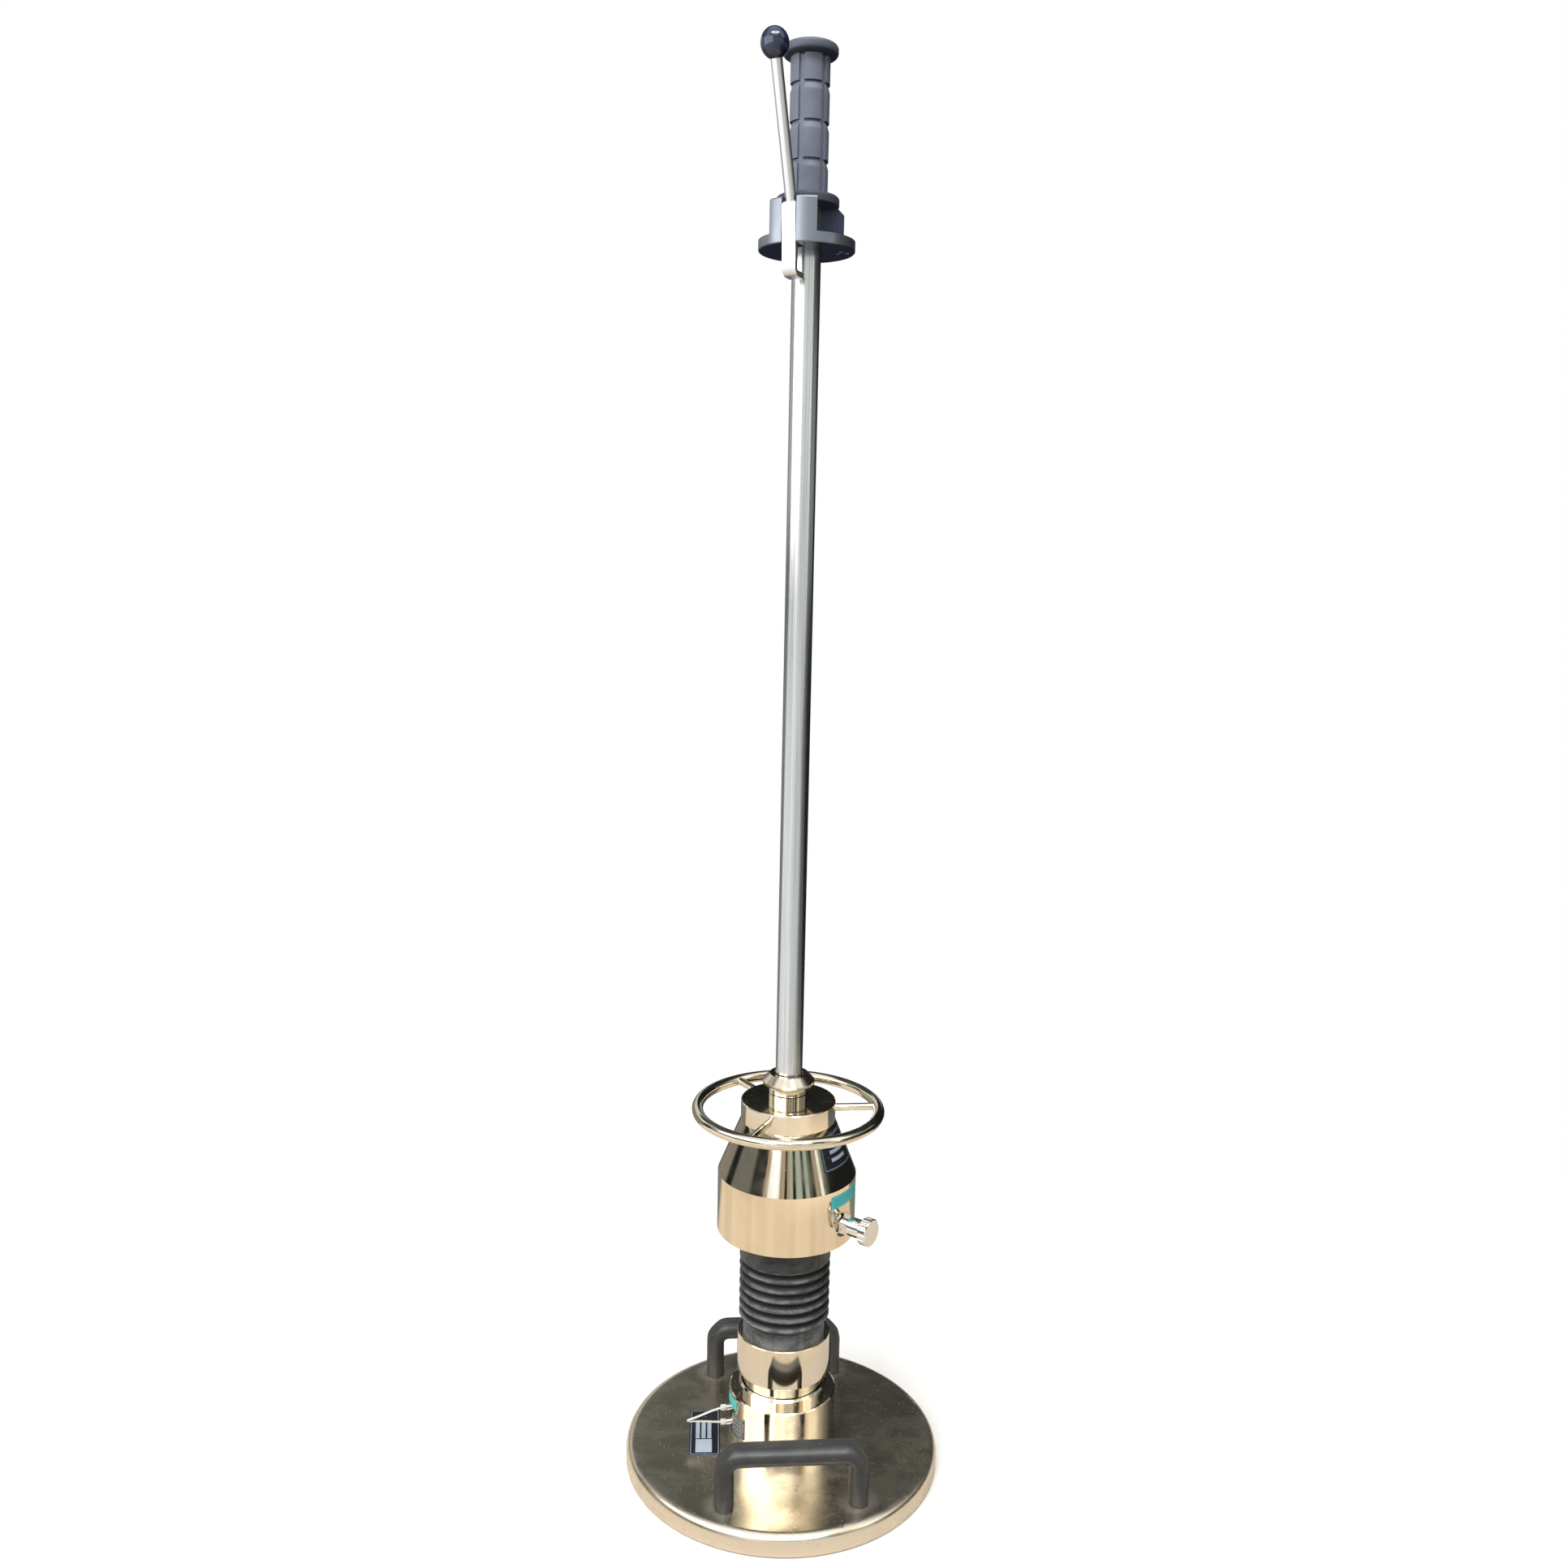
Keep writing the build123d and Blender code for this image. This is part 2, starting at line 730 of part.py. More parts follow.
nameplate_bottom = plate_top + hub_nameplate_base
hub_nameplate = wrapped_label(((hub_skin, nameplate_bottom), (hub_skin + label_thickness, nameplate_bottom),
                               (hub_skin + label_thickness, nameplate_bottom + hub_nameplate_height),
                               (hub_skin, nameplate_bottom + hub_nameplate_height)), hub_nameplate_angles)
save(hub_nameplate, "hub_nameplate")

# Spring base with its cup and the boss that holds the rod
rod_socket = rod_radius + seat_fit
bead_radius = cup_inner + cuff_bead_depth
bead_top = boot_bottom + cuff_bead_height
with BuildPart() as spring_base:
    revolve(turned((seat_radius + seat_fit, base_bottom), (spigot_radius - spigot_chamfer, base_bottom),
                   (spigot_radius, base_bottom + spigot_chamfer), (spigot_radius, cup_bottom),
                   (cup_radius - cup_edge, cup_bottom), (cup_radius, cup_bottom + cup_edge),
                   (cup_radius, cup_top - cup_edge), (cup_radius - cup_edge, cup_top), (cup_inner, cup_top),
                   (cup_inner, bead_top + cuff_fit), (bead_radius, bead_top + cuff_fit),
                   (bead_radius, boot_bottom - cuff_fit), (cup_inner, boot_bottom - cuff_fit),
                   (cup_inner, cup_floor), (boss_radius, cup_floor), (boss_radius, boss_top),
                   (rod_socket, boss_top), (rod_socket, rod_bottom), (0, rod_bottom),
                   (0, base_bottom + seat_depth), (seat_radius + seat_fit, base_bottom + seat_depth)))
    for angle in (0, 180):
        with BuildSketch(facing_plane(angle, rod_radius, cup_floor + boss_screw_height)):
            Circle(boss_screw_diameter / 2 + thread_fit)
        extrude(amount=boss_radius, mode=Mode.SUBTRACT)
save(spring_base, "spring_base")

with BuildPart() as boss_screws:
    for angle in (0, 180):
        add(grub_screw(angle, cup_floor + boss_screw_height, rod_radius + seat_fit, boss_screw_diameter,
                       boss_radius - rod_radius - boss_clearance))
save(boss_screws, "boss_screws")

# Guide rod, a ground tube
with BuildPart() as guide_rod:
    revolve(sleeve(rod_radius - rod_wall, rod_radius, rod_bottom, rod_top))
save(guide_rod, "guide_rod")

# Disc springs, each turned over against the next
with BuildPart() as disc_springs:
    for i in range(disc_count):
        bottom = stack_bottom + i * disc_pitch
        inner_lift = disc_rise if i % 2 == 0 else 0
        outer_lift = disc_rise - inner_lift
        revolve(turned((disc_inner_diameter / 2, bottom + inner_lift), (disc_radius, bottom + outer_lift),
                       (disc_radius, bottom + outer_lift + disc_thickness),
                       (disc_inner_diameter / 2, bottom + inner_lift + disc_thickness)))
save(disc_springs, "disc_springs")

# Ribbed rubber boot
boot_outline = [(cuff_radius + cuff_bead_depth, boot_bottom), (cuff_radius + cuff_bead_depth, bead_top),
                (cuff_radius, bead_top + cuff_fit), (cuff_radius, rib_bottom - cuff_fit)]
for i in range(rib_count):
    rib_foot = rib_bottom + i * rib_pitch
    boot_outline += [(boot_valley, rib_foot), (boot_crest, rib_foot + 0.3 * rib_pitch),
                     (boot_crest, rib_foot + 0.6 * rib_pitch), (boot_valley, rib_foot + 0.9 * rib_pitch)]
boot_outline += [(boot_crest, rib_top), (boot_crest, boot_top)]
with BuildPart() as boot:
    for radius, height in boot_outline:
        with BuildSketch(Plane.XY.offset(height)):
            Circle(radius)
    loft(ruled=True)
    for bore, bottom, top in ((cuff_bore, boot_bottom, rib_bottom),
                              (boot_valley - rib_wall, rib_bottom, anvil_bottom),
                              (anvil_radius + top_cuff_gap, anvil_bottom, boot_top)):
        with BuildSketch(Plane.XY.offset(bottom)):
            Circle(bore)
        extrude(amount=top - bottom, mode=Mode.SUBTRACT)
save(boot, "boot")

# Anvil and its guide bush
anvil_bore = rod_radius + running_fit + anvil_bush_wall
with BuildPart() as anvil:
    revolve(turned((anvil_bore + seat_fit, anvil_bottom), (anvil_radius - anvil_edge, anvil_bottom),
                   (anvil_radius, anvil_bottom + anvil_edge), (anvil_radius, anvil_top - anvil_edge),
                   (anvil_radius - anvil_edge, anvil_top), (anvil_bore + seat_fit, anvil_top)))
save(anvil, "anvil")

with BuildPart() as anvil_bush:
    revolve(sleeve(rod_radius + running_fit, anvil_bore, anvil_bottom, anvil_top))
save(anvil_bush, "anvil_bush")

# Drop weight with its bottom recess, bore, spoke holes and lock pocket
ring_radius = ring_diameter / 2
tube_radius = ring_tube_diameter / 2
spoke_turn = 360 / spoke_count
spoke_inner = crown_radius - spoke_bite
with BuildPart() as drop_weight:
    revolve(turned((recess_diameter / 2, weight_bottom), (weight_radius - weight_edge, weight_bottom),
                   (weight_radius, weight_bottom + weight_edge), (weight_radius, barrel_top),
                   (crown_radius, crown_bottom), (crown_radius, crown_top - weight_edge),
                   (crown_radius - weight_edge, crown_top), (neck_radius + seat_fit, crown_top),
                   (neck_radius + seat_fit, sleeve_bottom), (weight_bore, sleeve_bottom),
                   (weight_bore, recess_top), (recess_diameter / 2, recess_top)))
    for i in range(spoke_count):
        with BuildSketch(facing_plane(spoke_angle + i * spoke_turn, spoke_inner, ring_height_mid)):
            Circle(spoke_diameter / 2 + seat_fit)
        extrude(amount=2 * spoke_bite, mode=Mode.SUBTRACT)
    with BuildSketch(facing_plane(plunger_angle, pocket_floor, plunger_z)):
        Circle(pocket_diameter / 2)
    extrude(amount=pocket_diameter, mode=Mode.SUBTRACT)
    with BuildSketch(facing_plane(plunger_angle, pocket_floor, plunger_z)):
        Circle(bush_thread_diameter / 2 + thread_fit)
    extrude(amount=-bush_thread_length - thread_fit, mode=Mode.SUBTRACT)
    with BuildSketch(facing_plane(plunger_angle, 0, plunger_z)):
        Circle(pin_radius + pin_hole_clearance)
    extrude(amount=pocket_floor, mode=Mode.SUBTRACT)
save(drop_weight, "drop_weight")

# Guide bushes that slide on the rod inside the weight
with BuildPart() as lower_bush:
    revolve(sleeve(bush_inner, bush_outer, recess_top + bush_setback,
                   recess_top + bush_setback + lower_bush_length))
save(lower_bush, "lower_bush")

with BuildPart() as upper_bush:
    revolve(sleeve(bush_inner, bush_outer, sleeve_bottom + bush_setback,
                   collar_top - sleeve_lip_height - bush_setback))
save(upper_bush, "upper_bush")

# Catch sleeve with the collar that the lever hooks under
with BuildPart() as catch_sleeve:
    revolve(turned((weight_bore, sleeve_bottom), (neck_radius, sleeve_bottom),
                   (neck_radius, neck_seam - neck_seam_width / 2), (neck_radius - neck_seam_depth, neck_seam),
                   (neck_radius, neck_seam + neck_seam_width / 2), (neck_radius, neck_top),
                   (collar_radius, neck_top), (collar_radius, neck_top + collar_lip_height),
                   (sleeve_lip + collar_top_width, collar_top), (sleeve_lip, collar_top),
                   (sleeve_lip, collar_top - sleeve_lip_height),
                   (weight_bore, collar_top - sleeve_lip_height)))
save(catch_sleeve, "catch_sleeve")

# Carrying ring and its spokes
with BuildPart() as carrying_ring:
    with Locations((0, 0, ring_height_mid)):
        Torus(ring_radius, tube_radius)
save(carrying_ring, "carrying_ring")

with BuildPart() as ring_spokes:
    for i in range(spoke_count):
        with BuildSketch(facing_plane(spoke_angle + i * spoke_turn, spoke_inner, ring_height_mid)):
            Circle(spoke_diameter / 2)
        extrude(amount=ring_radius - spoke_inner)
    with Locations((0, 0, ring_height_mid)):
        Torus(ring_radius, tube_radius + weld_gap, mode=Mode.SUBTRACT)
save(ring_spokes, "ring_spokes")

# Transport lock: collar on the rod, threaded bush, pin and pull knob
plunger_side = (-sin(radians(plunger_angle)), cos(radians(plunger_angle)), 0)
plunger_plane = Plane((0, 0, plunger_z), x_dir=(0, 0, 1), z_dir=plunger_side)
plunger_axis = Axis(plunger_plane.origin, plunger_plane.y_dir)
with BuildPart() as lock_collar:
    revolve(sleeve(rod_radius + seat_fit, lock_collar_radius, lock_collar_bottom,
                   lock_collar_bottom + lock_collar_thickness))
    with BuildSketch(facing_plane(90, rod_radius, lock_collar_bottom + lock_collar_thickness / 2)):
        Circle(lock_screw_diameter / 2 + thread_fit)
    extrude(amount=lock_collar_radius, mode=Mode.SUBTRACT)
save(lock_collar, "lock_collar")

with BuildPart() as lock_collar_screw:
    add(grub_screw(90, lock_collar_bottom + lock_collar_thickness / 2, rod_radius + seat_fit,
                   lock_screw_diameter, lock_collar_wall - 2 * seat_fit))
save(lock_collar_screw, "lock_collar_screw")

with BuildPart() as plunger_bush:
    revolve(turned((pin_radius + running_fit, bush_inner_end), (bush_thread_diameter / 2, bush_inner_end),
                   (bush_thread_diameter / 2, pocket_floor), (bush_neck_diameter / 2, pocket_floor),
                   (bush_neck_diameter / 2, bush_neck_end), (pin_radius + running_fit, bush_neck_end),
                   plane=plunger_plane), axis=plunger_axis)
    with BuildSketch(facing_plane(plunger_angle, pocket_floor, plunger_z)):
        RegularPolygon(bush_hex_width / 2, 6, major_radius=False)
        Circle(bush_neck_diameter / 2, mode=Mode.SUBTRACT)
    extrude(amount=bush_hex_height)
save(plunger_bush, "plunger_bush")

with BuildPart() as plunger_pin:
    revolve(turned((0, pin_tip), (pin_radius - pin_chamfer, pin_tip), (pin_radius, pin_tip + pin_chamfer),
                   (pin_radius, knob_hollow_end + pin_knob_bite), (0, knob_hollow_end + pin_knob_bite),
                   plane=plunger_plane), axis=plunger_axis)
save(plunger_pin, "plunger_pin")

knob_bore = bush_neck_diameter / 2 + knob_gap
cap_radius = knob_cap_diameter / 2
pin_hole_end = knob_hollow_end + pin_knob_bite + seat_fit
with BuildPart() as plunger_knob:
    revolve(turned((knob_bore, knob_start), (knob_barrel_diameter / 2, knob_start),
                   (knob_barrel_diameter / 2, knob_barrel_end), (cap_radius - knob_cap_edge, knob_barrel_end),
                   (cap_radius, knob_barrel_end + knob_cap_edge), (cap_radius, knob_end - knob_cap_edge),
                   (cap_radius - knob_cap_edge, knob_end), (0, knob_end), (0, pin_hole_end),
                   (pin_radius + seat_fit, pin_hole_end), (pin_radius + seat_fit, knob_hollow_end),
                   (knob_bore, knob_hollow_end), plane=plunger_plane), axis=plunger_axis)
    with BuildSketch(facing_plane(plunger_angle, knob_barrel_end, plunger_z)):
        with PolarLocations(cap_radius + knob_flute_diameter / 2 - knob_flute_depth, knob_flute_count):
            Circle(knob_flute_diameter / 2)
    extrude(amount=knob_cap_length, mode=Mode.SUBTRACT)
save(plunger_knob, "plunger_knob")

# Labels on the weight
weight_skin = weight_radius + label_gap
weight_strip_bottom = weight_bottom + weight_strip_base
weight_strip = wrapped_label(((weight_skin, weight_strip_bottom),
                              (weight_skin + label_thickness, weight_strip_bottom),
                              (weight_skin + label_thickness, weight_strip_bottom + weight_strip_height),
                              (weight_skin, weight_strip_bottom + weight_strip_height)), weight_strip_angles)
save(weight_strip, "weight_strip")

cone_slope = (weight_radius - crown_radius) / cone_height
cone_label_bottom = barrel_top + cone_label_base
cone_label_low = weight_skin - cone_slope * cone_label_base
cone_label_high = cone_label_low - cone_slope * cone_label_height
cone_label = wrapped_label(((cone_label_low, cone_label_bottom),
                            (cone_label_low + label_thickness, cone_label_bottom),
                            (cone_label_high + label_thickness, cone_label_bottom + cone_label_height),
                            (cone_label_high, cone_label_bottom + cone_label_height)), cone_label_angles)
save(cone_label, "cone_label")

# Release head with lever slot, side flats and access notch
head_plane = Plane.XY.rotated((0, 0, head_turn))
lever_plane = upright_plane(lever_angle)
pivot_hole_left = slot_width / 2 + pivot_bite
stop_half = slot_width / 2 + stop_bite
with BuildPart() as release_head:
    with BuildSketch(head_plane.offset(flange_top)):
        Circle(head_radius)
        Rectangle(body_width, head_diameter, mode=Mode.INTERSECT)
    extrude(amount=head_top - flange_top)
    chamfer(release_head.faces().sort_by(Axis.Z)[-1].edges().sort_by(Axis.X)[-1], head_shoulder)
    chamfer(release_head.faces().sort_by(Axis.Z)[-1].edges().sort_by(Axis.X)[:-1], head_edge)
    with BuildSketch(head_plane.offset(flange_top)):
        with Locations((notch_offset, 0)):
            Rectangle(head_radius, head_radius, align=(Align.MIN, Align.MAX))
    extrude(amount=head_top - flange_top, mode=Mode.SUBTRACT)
    revolve(turned((0, flange_bottom), (head_radius - flange_edge, flange_bottom),
                   (head_radius, flange_bottom + flange_edge), (head_radius, flange_top), (0, flange_top)))
    with BuildSketch(Plane.XY.offset(flange_bottom)):
        Circle(rod_radius + seat_fit)
        with PolarLocations(slot_inner, 1, start_angle=lever_angle):
            Rectangle(head_diameter, slot_width, align=(Align.MIN, Align.CENTER))
    extrude(amount=head_height, mode=Mode.SUBTRACT)
    with BuildSketch(lever_plane.offset(-head_radius)):
        with Locations((pivot_reach, pivot_z)):
            Circle(pivot_diameter / 2 + seat_fit)
    extrude(amount=head_radius + pivot_hole_left, mode=Mode.SUBTRACT)
    with BuildSketch(lever_plane):
        with Locations(*stop_spots):
            Circle(stop_radius + seat_fit)
    extrude(amount=stop_half, both=True, mode=Mode.SUBTRACT)
    for height in head_screw_heights:
        with BuildSketch(facing_plane(lever_angle - 180, rod_radius, flange_bottom + height)):
            Circle(head_screw_diameter / 2 + thread_fit)
        extrude(amount=head_radius, mode=Mode.SUBTRACT)
save(release_head, "release_head")

with BuildPart() as head_screws:
    for height in head_screw_heights:
        add(grub_screw(lever_angle - 180, flange_bottom + height, rod_radius + seat_fit, head_screw_diameter,
                       head_screw_length))
save(head_screws, "head_screws")

# Lever with its hook, pivot lug and rod block
block_drop = block_depth * tan(radians(lever_tilt))
block_foot = block_bottom - lever_back + block_back
lever_reach = head_radius - block_depth / 2
stud_outward = lever_plane.x_dir * sin(radians(lever_tilt)) + Vector(0, 0, cos(radians(lever_tilt)))
stud_across = lever_plane.x_dir * cos(radians(lever_tilt)) - Vector(0, 0, sin(radians(lever_tilt)))
stud_start = lever_plane.from_local_coords((lever_reach, lever_top - block_drop / 2, 0))
stud_plane = Plane(stud_start, x_dir=stud_across, z_dir=lever_plane.z_dir)
stud_axis = Axis(stud_start, stud_outward)
with BuildPart() as catch_lever:
    with BuildSketch(lever_plane):
        with BuildLine() as lever_outline:
            Polyline((hook_tip, hook_top), (lever_back, hook_top), (lever_back, block_foot),
                     (block_back, block_bottom), (block_back, lever_top),
                     (head_radius, lever_top - block_drop), (head_radius, block_bottom),
                     (lever_front, block_bottom - lever_taper),
                     (lever_front, hook_bottom), (hook_tip + hook_bevel, hook_bottom),
                     (hook_tip, hook_top - hook_bevel), close=True)
            fillet(lever_outline.vertices().sort_by_distance((lever_front, hook_bottom, 0))[0], hook_corner)
            fillet(lever_outline.vertices().sort_by_distance((lever_back, hook_top, 0))[0], hook_inner_corner)
        make_face()
    extrude(amount=lever_width / 2, both=True)
    block_face = catch_lever.faces().sort_by(stud_axis)[-1]
    chamfer(block_face.edges().filter_by(Axis(stud_start, stud_across)), lever_bevel)
    with BuildSketch(lever_plane):
        with Locations((pivot_reach, pivot_z)):
            Circle(lug_radius)
            Rectangle(block_offset + lever_thickness, 2 * lug_radius, align=(Align.MIN, Align.CENTER))
    extrude(amount=lug_width / 2, both=True)
    with BuildSketch(lever_plane):
        with Locations((pivot_reach, pivot_z)):
            Circle(pivot_diameter / 2 + running_fit)
    extrude(amount=lever_width, both=True, mode=Mode.SUBTRACT)
    revolve(turned((0, -lever_stud_length - thread_fit),
                   (lever_stud_diameter / 2 + thread_fit, -lever_stud_length - thread_fit),
                   (lever_stud_diameter / 2 + thread_fit, 0), (0, 0), plane=stud_plane),
            axis=stud_axis, mode=Mode.SUBTRACT)
save(catch_lever, "catch_lever")

with BuildPart() as lever_pivot:
    with BuildSketch(lever_plane):
        with Locations((pivot_reach, pivot_z)):
            Circle(pivot_diameter / 2)
    extrude(amount=pivot_hole_left - pivot_end_gap, both=True)
save(lever_pivot, "lever_pivot")

with BuildPart() as lever_stops:
    with BuildSketch(lever_plane):
        with Locations(*stop_spots):
            Circle(stop_radius)
    extrude(amount=stop_half - pivot_end_gap, both=True)
save(lever_stops, "lever_stops")

with BuildPart() as return_springs:
    for side in (-1, 1):
        with BuildSketch(lever_plane.offset(side * (lug_width / 2 + spring_side_gap))):
            with Locations((pivot_reach, pivot_z)):
                Circle(return_spring_diameter / 2)
                Circle(pivot_diameter / 2 + spring_side_gap, mode=Mode.SUBTRACT)
        extrude(amount=side * (slot_width / 2 - lug_width / 2 - 2 * spring_side_gap))
save(return_springs, "return_springs")

# Lever rod with a threaded stud at each end, and its knob
lever_rod_radius = lever_rod_diameter / 2
lever_stud_radius = lever_stud_diameter / 2
knob_stud_end = lever_rod_length + ball_knob_bite
with BuildPart() as lever_rod:
    revolve(turned((0, -lever_stud_length), (lever_stud_radius, -lever_stud_length), (lever_stud_radius, 0),
                   (lever_rod_radius, 0), (lever_rod_radius, lever_rod_length),
                   (lever_stud_radius, lever_rod_length), (lever_stud_radius, knob_stud_end),
                   (0, knob_stud_end), plane=stud_plane), axis=stud_axis)
save(lever_rod, "lever_rod")

knob_flat_share = (1 - (ball_knob_base / ball_knob_diameter) ** 2) ** 0.5
knob_half_length = ball_knob_length / (1 + knob_flat_share)
knob_middle = lever_rod_length + knob_half_length * knob_flat_share
with BuildPart() as ball_knob:
    with BuildSketch(stud_plane):
        with Locations((0, knob_middle)):
            Ellipse(ball_knob_diameter / 2, knob_half_length)
        with Locations((0, lever_rod_length)):
            Rectangle(ball_knob_diameter, ball_knob_length, align=(Align.MIN, Align.MIN),
                      mode=Mode.INTERSECT)
        with Locations((0, lever_rod_length)):
            Rectangle(lever_stud_radius + thread_fit, ball_knob_bite + thread_fit,
                      align=(Align.MIN, Align.MIN), mode=Mode.SUBTRACT)
    revolve(axis=stud_axis)
save(ball_knob, "ball_knob")

# Rubber grip with a foot, tiled rows and a domed cap
foot_radius = grip_foot_diameter / 2
foot_top = head_top + grip_foot_thickness
grip_cap_radius = grip_cap_diameter / 2
cap_underside = grip_top - grip_cap_underside
row_edges = [foot_top] + [foot_top + grip_first_row + i * grip_row_pitch for i in range(grip_row_count - 1)]
row_edges.append(cap_underside)
grip_waist = grip_radius - grip_row_taper
grip_outline = [(rod_radius + seat_fit, head_top), (foot_radius, head_top), (foot_radius, foot_top)]
for row_bottom, row_top in zip(row_edges, row_edges[1:]):
    grip_outline += [(grip_radius, row_bottom), (grip_waist, row_top - grip_groove_height),
                     (grip_waist - grip_groove_depth, row_top - grip_groove_height),
                     (grip_waist - grip_groove_depth, row_top)]
grip_outline += [(grip_cap_radius, cap_underside), (grip_cap_radius, grip_top), (0, grip_top), (0, rod_top),
                 (rod_radius + seat_fit, rod_top)]
with BuildPart() as grip:
    revolve(turned(*grip_outline))
    fillet(grip.edges().filter_by(GeomType.CIRCLE).group_by(SortBy.RADIUS)[-1], grip_foot_corner)
    fillet([edge for edge in grip.edges().filter_by(GeomType.CIRCLE)
            if abs(edge.radius - grip_cap_radius) < grip_groove_depth and edge.center().Z > row_edges[-2]],
           grip_cap_corner)
    for i in range(grip_column_count):
        column_angle = grip_column_angle + i * 360 / grip_column_count
        with BuildSketch(facing_plane(column_angle, grip_radius - grip_column_depth,
                                      (foot_top + cap_underside) / 2)):
            Rectangle(cap_underside - foot_top, grip_column_width)
        extrude(amount=grip_column_depth, mode=Mode.SUBTRACT)
save(grip, "grip")
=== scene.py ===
"""Looks of the lightweight deflectometer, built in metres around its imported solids."""

import json
import math

import bmesh
import bpy
from mathutils import Matrix, Vector

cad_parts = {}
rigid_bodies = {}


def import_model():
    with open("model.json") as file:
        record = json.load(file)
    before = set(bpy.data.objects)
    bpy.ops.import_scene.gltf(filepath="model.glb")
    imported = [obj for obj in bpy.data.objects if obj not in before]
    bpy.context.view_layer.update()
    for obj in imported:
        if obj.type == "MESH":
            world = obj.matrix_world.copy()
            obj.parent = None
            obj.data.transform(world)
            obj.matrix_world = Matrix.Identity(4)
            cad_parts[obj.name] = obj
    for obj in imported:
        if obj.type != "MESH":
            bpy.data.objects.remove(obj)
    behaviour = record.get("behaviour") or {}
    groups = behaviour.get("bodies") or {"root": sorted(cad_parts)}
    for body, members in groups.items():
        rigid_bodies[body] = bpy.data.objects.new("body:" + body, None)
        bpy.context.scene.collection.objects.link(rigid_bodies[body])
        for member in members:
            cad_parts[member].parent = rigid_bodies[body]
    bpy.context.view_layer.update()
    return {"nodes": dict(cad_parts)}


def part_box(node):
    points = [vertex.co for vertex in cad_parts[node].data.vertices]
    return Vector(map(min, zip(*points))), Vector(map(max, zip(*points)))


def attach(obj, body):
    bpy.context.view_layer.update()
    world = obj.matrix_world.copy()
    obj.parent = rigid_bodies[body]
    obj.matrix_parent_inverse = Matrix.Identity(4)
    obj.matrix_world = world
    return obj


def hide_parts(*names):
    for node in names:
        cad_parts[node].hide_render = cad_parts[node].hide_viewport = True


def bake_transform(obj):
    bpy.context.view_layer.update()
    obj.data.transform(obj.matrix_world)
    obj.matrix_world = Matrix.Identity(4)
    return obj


for leftover in list(bpy.data.objects):
    bpy.data.objects.remove(leftover)

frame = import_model()
nodes = frame["nodes"]
MM = 0.001

# Camera, in metres and degrees: it stands in front of the plate and looks a little down
camera_place = (-0.0729, -1.2270, 0.8467)
camera_yaw = 2.93
camera_pitch = 8.71
camera_roll = 1.16
camera_lens = 31.556
camera_sensor = 36

# Boot, in millimetres and counts: the gap under its upper cuff is a share of the rib pitch
rib_count = 6
rib_pitch = 9.8
rib_bottom = 143.3
cuff_radius = 38.9
rib_valley = 39.3
rib_crest = 43.3
rib_fullness = 1.5
rib_cuff_gap = 0.35
cuff_edge = rib_bottom + (rib_count + rib_cuff_gap) * rib_pitch
boot_wall = 2.2
boot_dents = 0.5
boot_rings = 260
boot_segments = 121
boot_rest_place = "rest_place"

# Grip, in millimetres, degrees and counts: the rings of a pad crowd towards its square lower edge
grip_foot_radius = 27
grip_foot_top = 1162.3
grip_foot_corner = 3
grip_core_radius = 14.9
grip_neck_drop = 2
grip_cap_radius = 23.5
grip_cap_underside = 1274.3
grip_cap_crown = 2.2
grip_crown_share = 0.6
grip_bore = 12.6
rod_top = 1272.3
grip_row_pitch = 30.5
grip_second_row = 1190.3
grip_row_count = 4
grip_column_count = 5
grip_column_angle = 240.6
grip_band = 4.0
grip_ramp = 6.2
grip_lip = 0.4
pad_height = 1.9
pad_sunk = 0.04
pad_rings = 44
pad_segments = 41
pad_crowding = 1.6
pad_crease = 24

# Handles, in millimetres and degrees: the pair's turn, and where a foot stands aside and ahead of the axis
handle_turn = 2.2
handle_foot = (60.5, 104.5)
handle_edge = 1.5
# heights where the dark line at a foot, a seam and painted contact shadow, is full and where it is gone
foot_seam_and_shade_line = (20.5, 21.4)
foot_grime_inner = 11
foot_grime_outer = 23
foot_grime_share = 0.13

# Release head and lever, in millimetres and degrees: a chip has its place across the flange and its size
head_turn = -3.4
# Recess of the head, in painted shade: where it begins across, and going back, where it is full and where it
# is gone
head_notch = 8
notch_shade_fade = (-6, 22)
head_flange_bottom = 1117.8
head_flange_top = 1126.3
head_edge = 0.7
head_chips = ((28.8, -5, 2.0), (27.0, 2, 1.7), (34.5, -1, 2.0))
chip_raggedness = 1.5
lever_bearing = 244.6
lever_tilt = 20
lever_edge = 0.5

# Catch sleeve, in millimetres: the height of its joint, and how far off it the dark line fades
sleeve_joint = 367.5
joint_fade = (0.30, 0.60)

# Seal strap: its angle, and the radius and height of the points it runs by, from head to fold to head
seal_angle = 189
strap_width = 2.6
strap_thickness = 1.0
strap_run = ((57.5, 52), (65, 51.0), (77, 46.6), (88, 43.3), (92.4, 42.4),
             (92.4, 41.4), (88, 41.0), (75, 39.4), (65, 37.4), (57.5, 37))
strap_head_size = (5.6, 4.4, 4.6)
strap_head_corner = 0.9

# Meshes: welding distances in metres, and the angles past which an edge is sharp, in degrees
seam_weld = 1e-6
solid_weld = 2e-6
flat_within = 0.5
lathe_segments = 96
lathe_crease = 40
spring_crease = 30
strap_crease = 50
head_crease = 28
lever_crease = 20
handle_crease = 20

# Labels: centre, width and length of the flat one, angles and heights of the wrapped ones
plate_label = (-74.5, 30, 71)
cone_label = ((-57, -9), (307.9, 337.9))
nameplate = ((200.6, 220.6), (33, 53))
hub_strip = ((184.6, 209.6), (58, 67))
weight_strip = ((-54, -16), (274.4, 286.4))

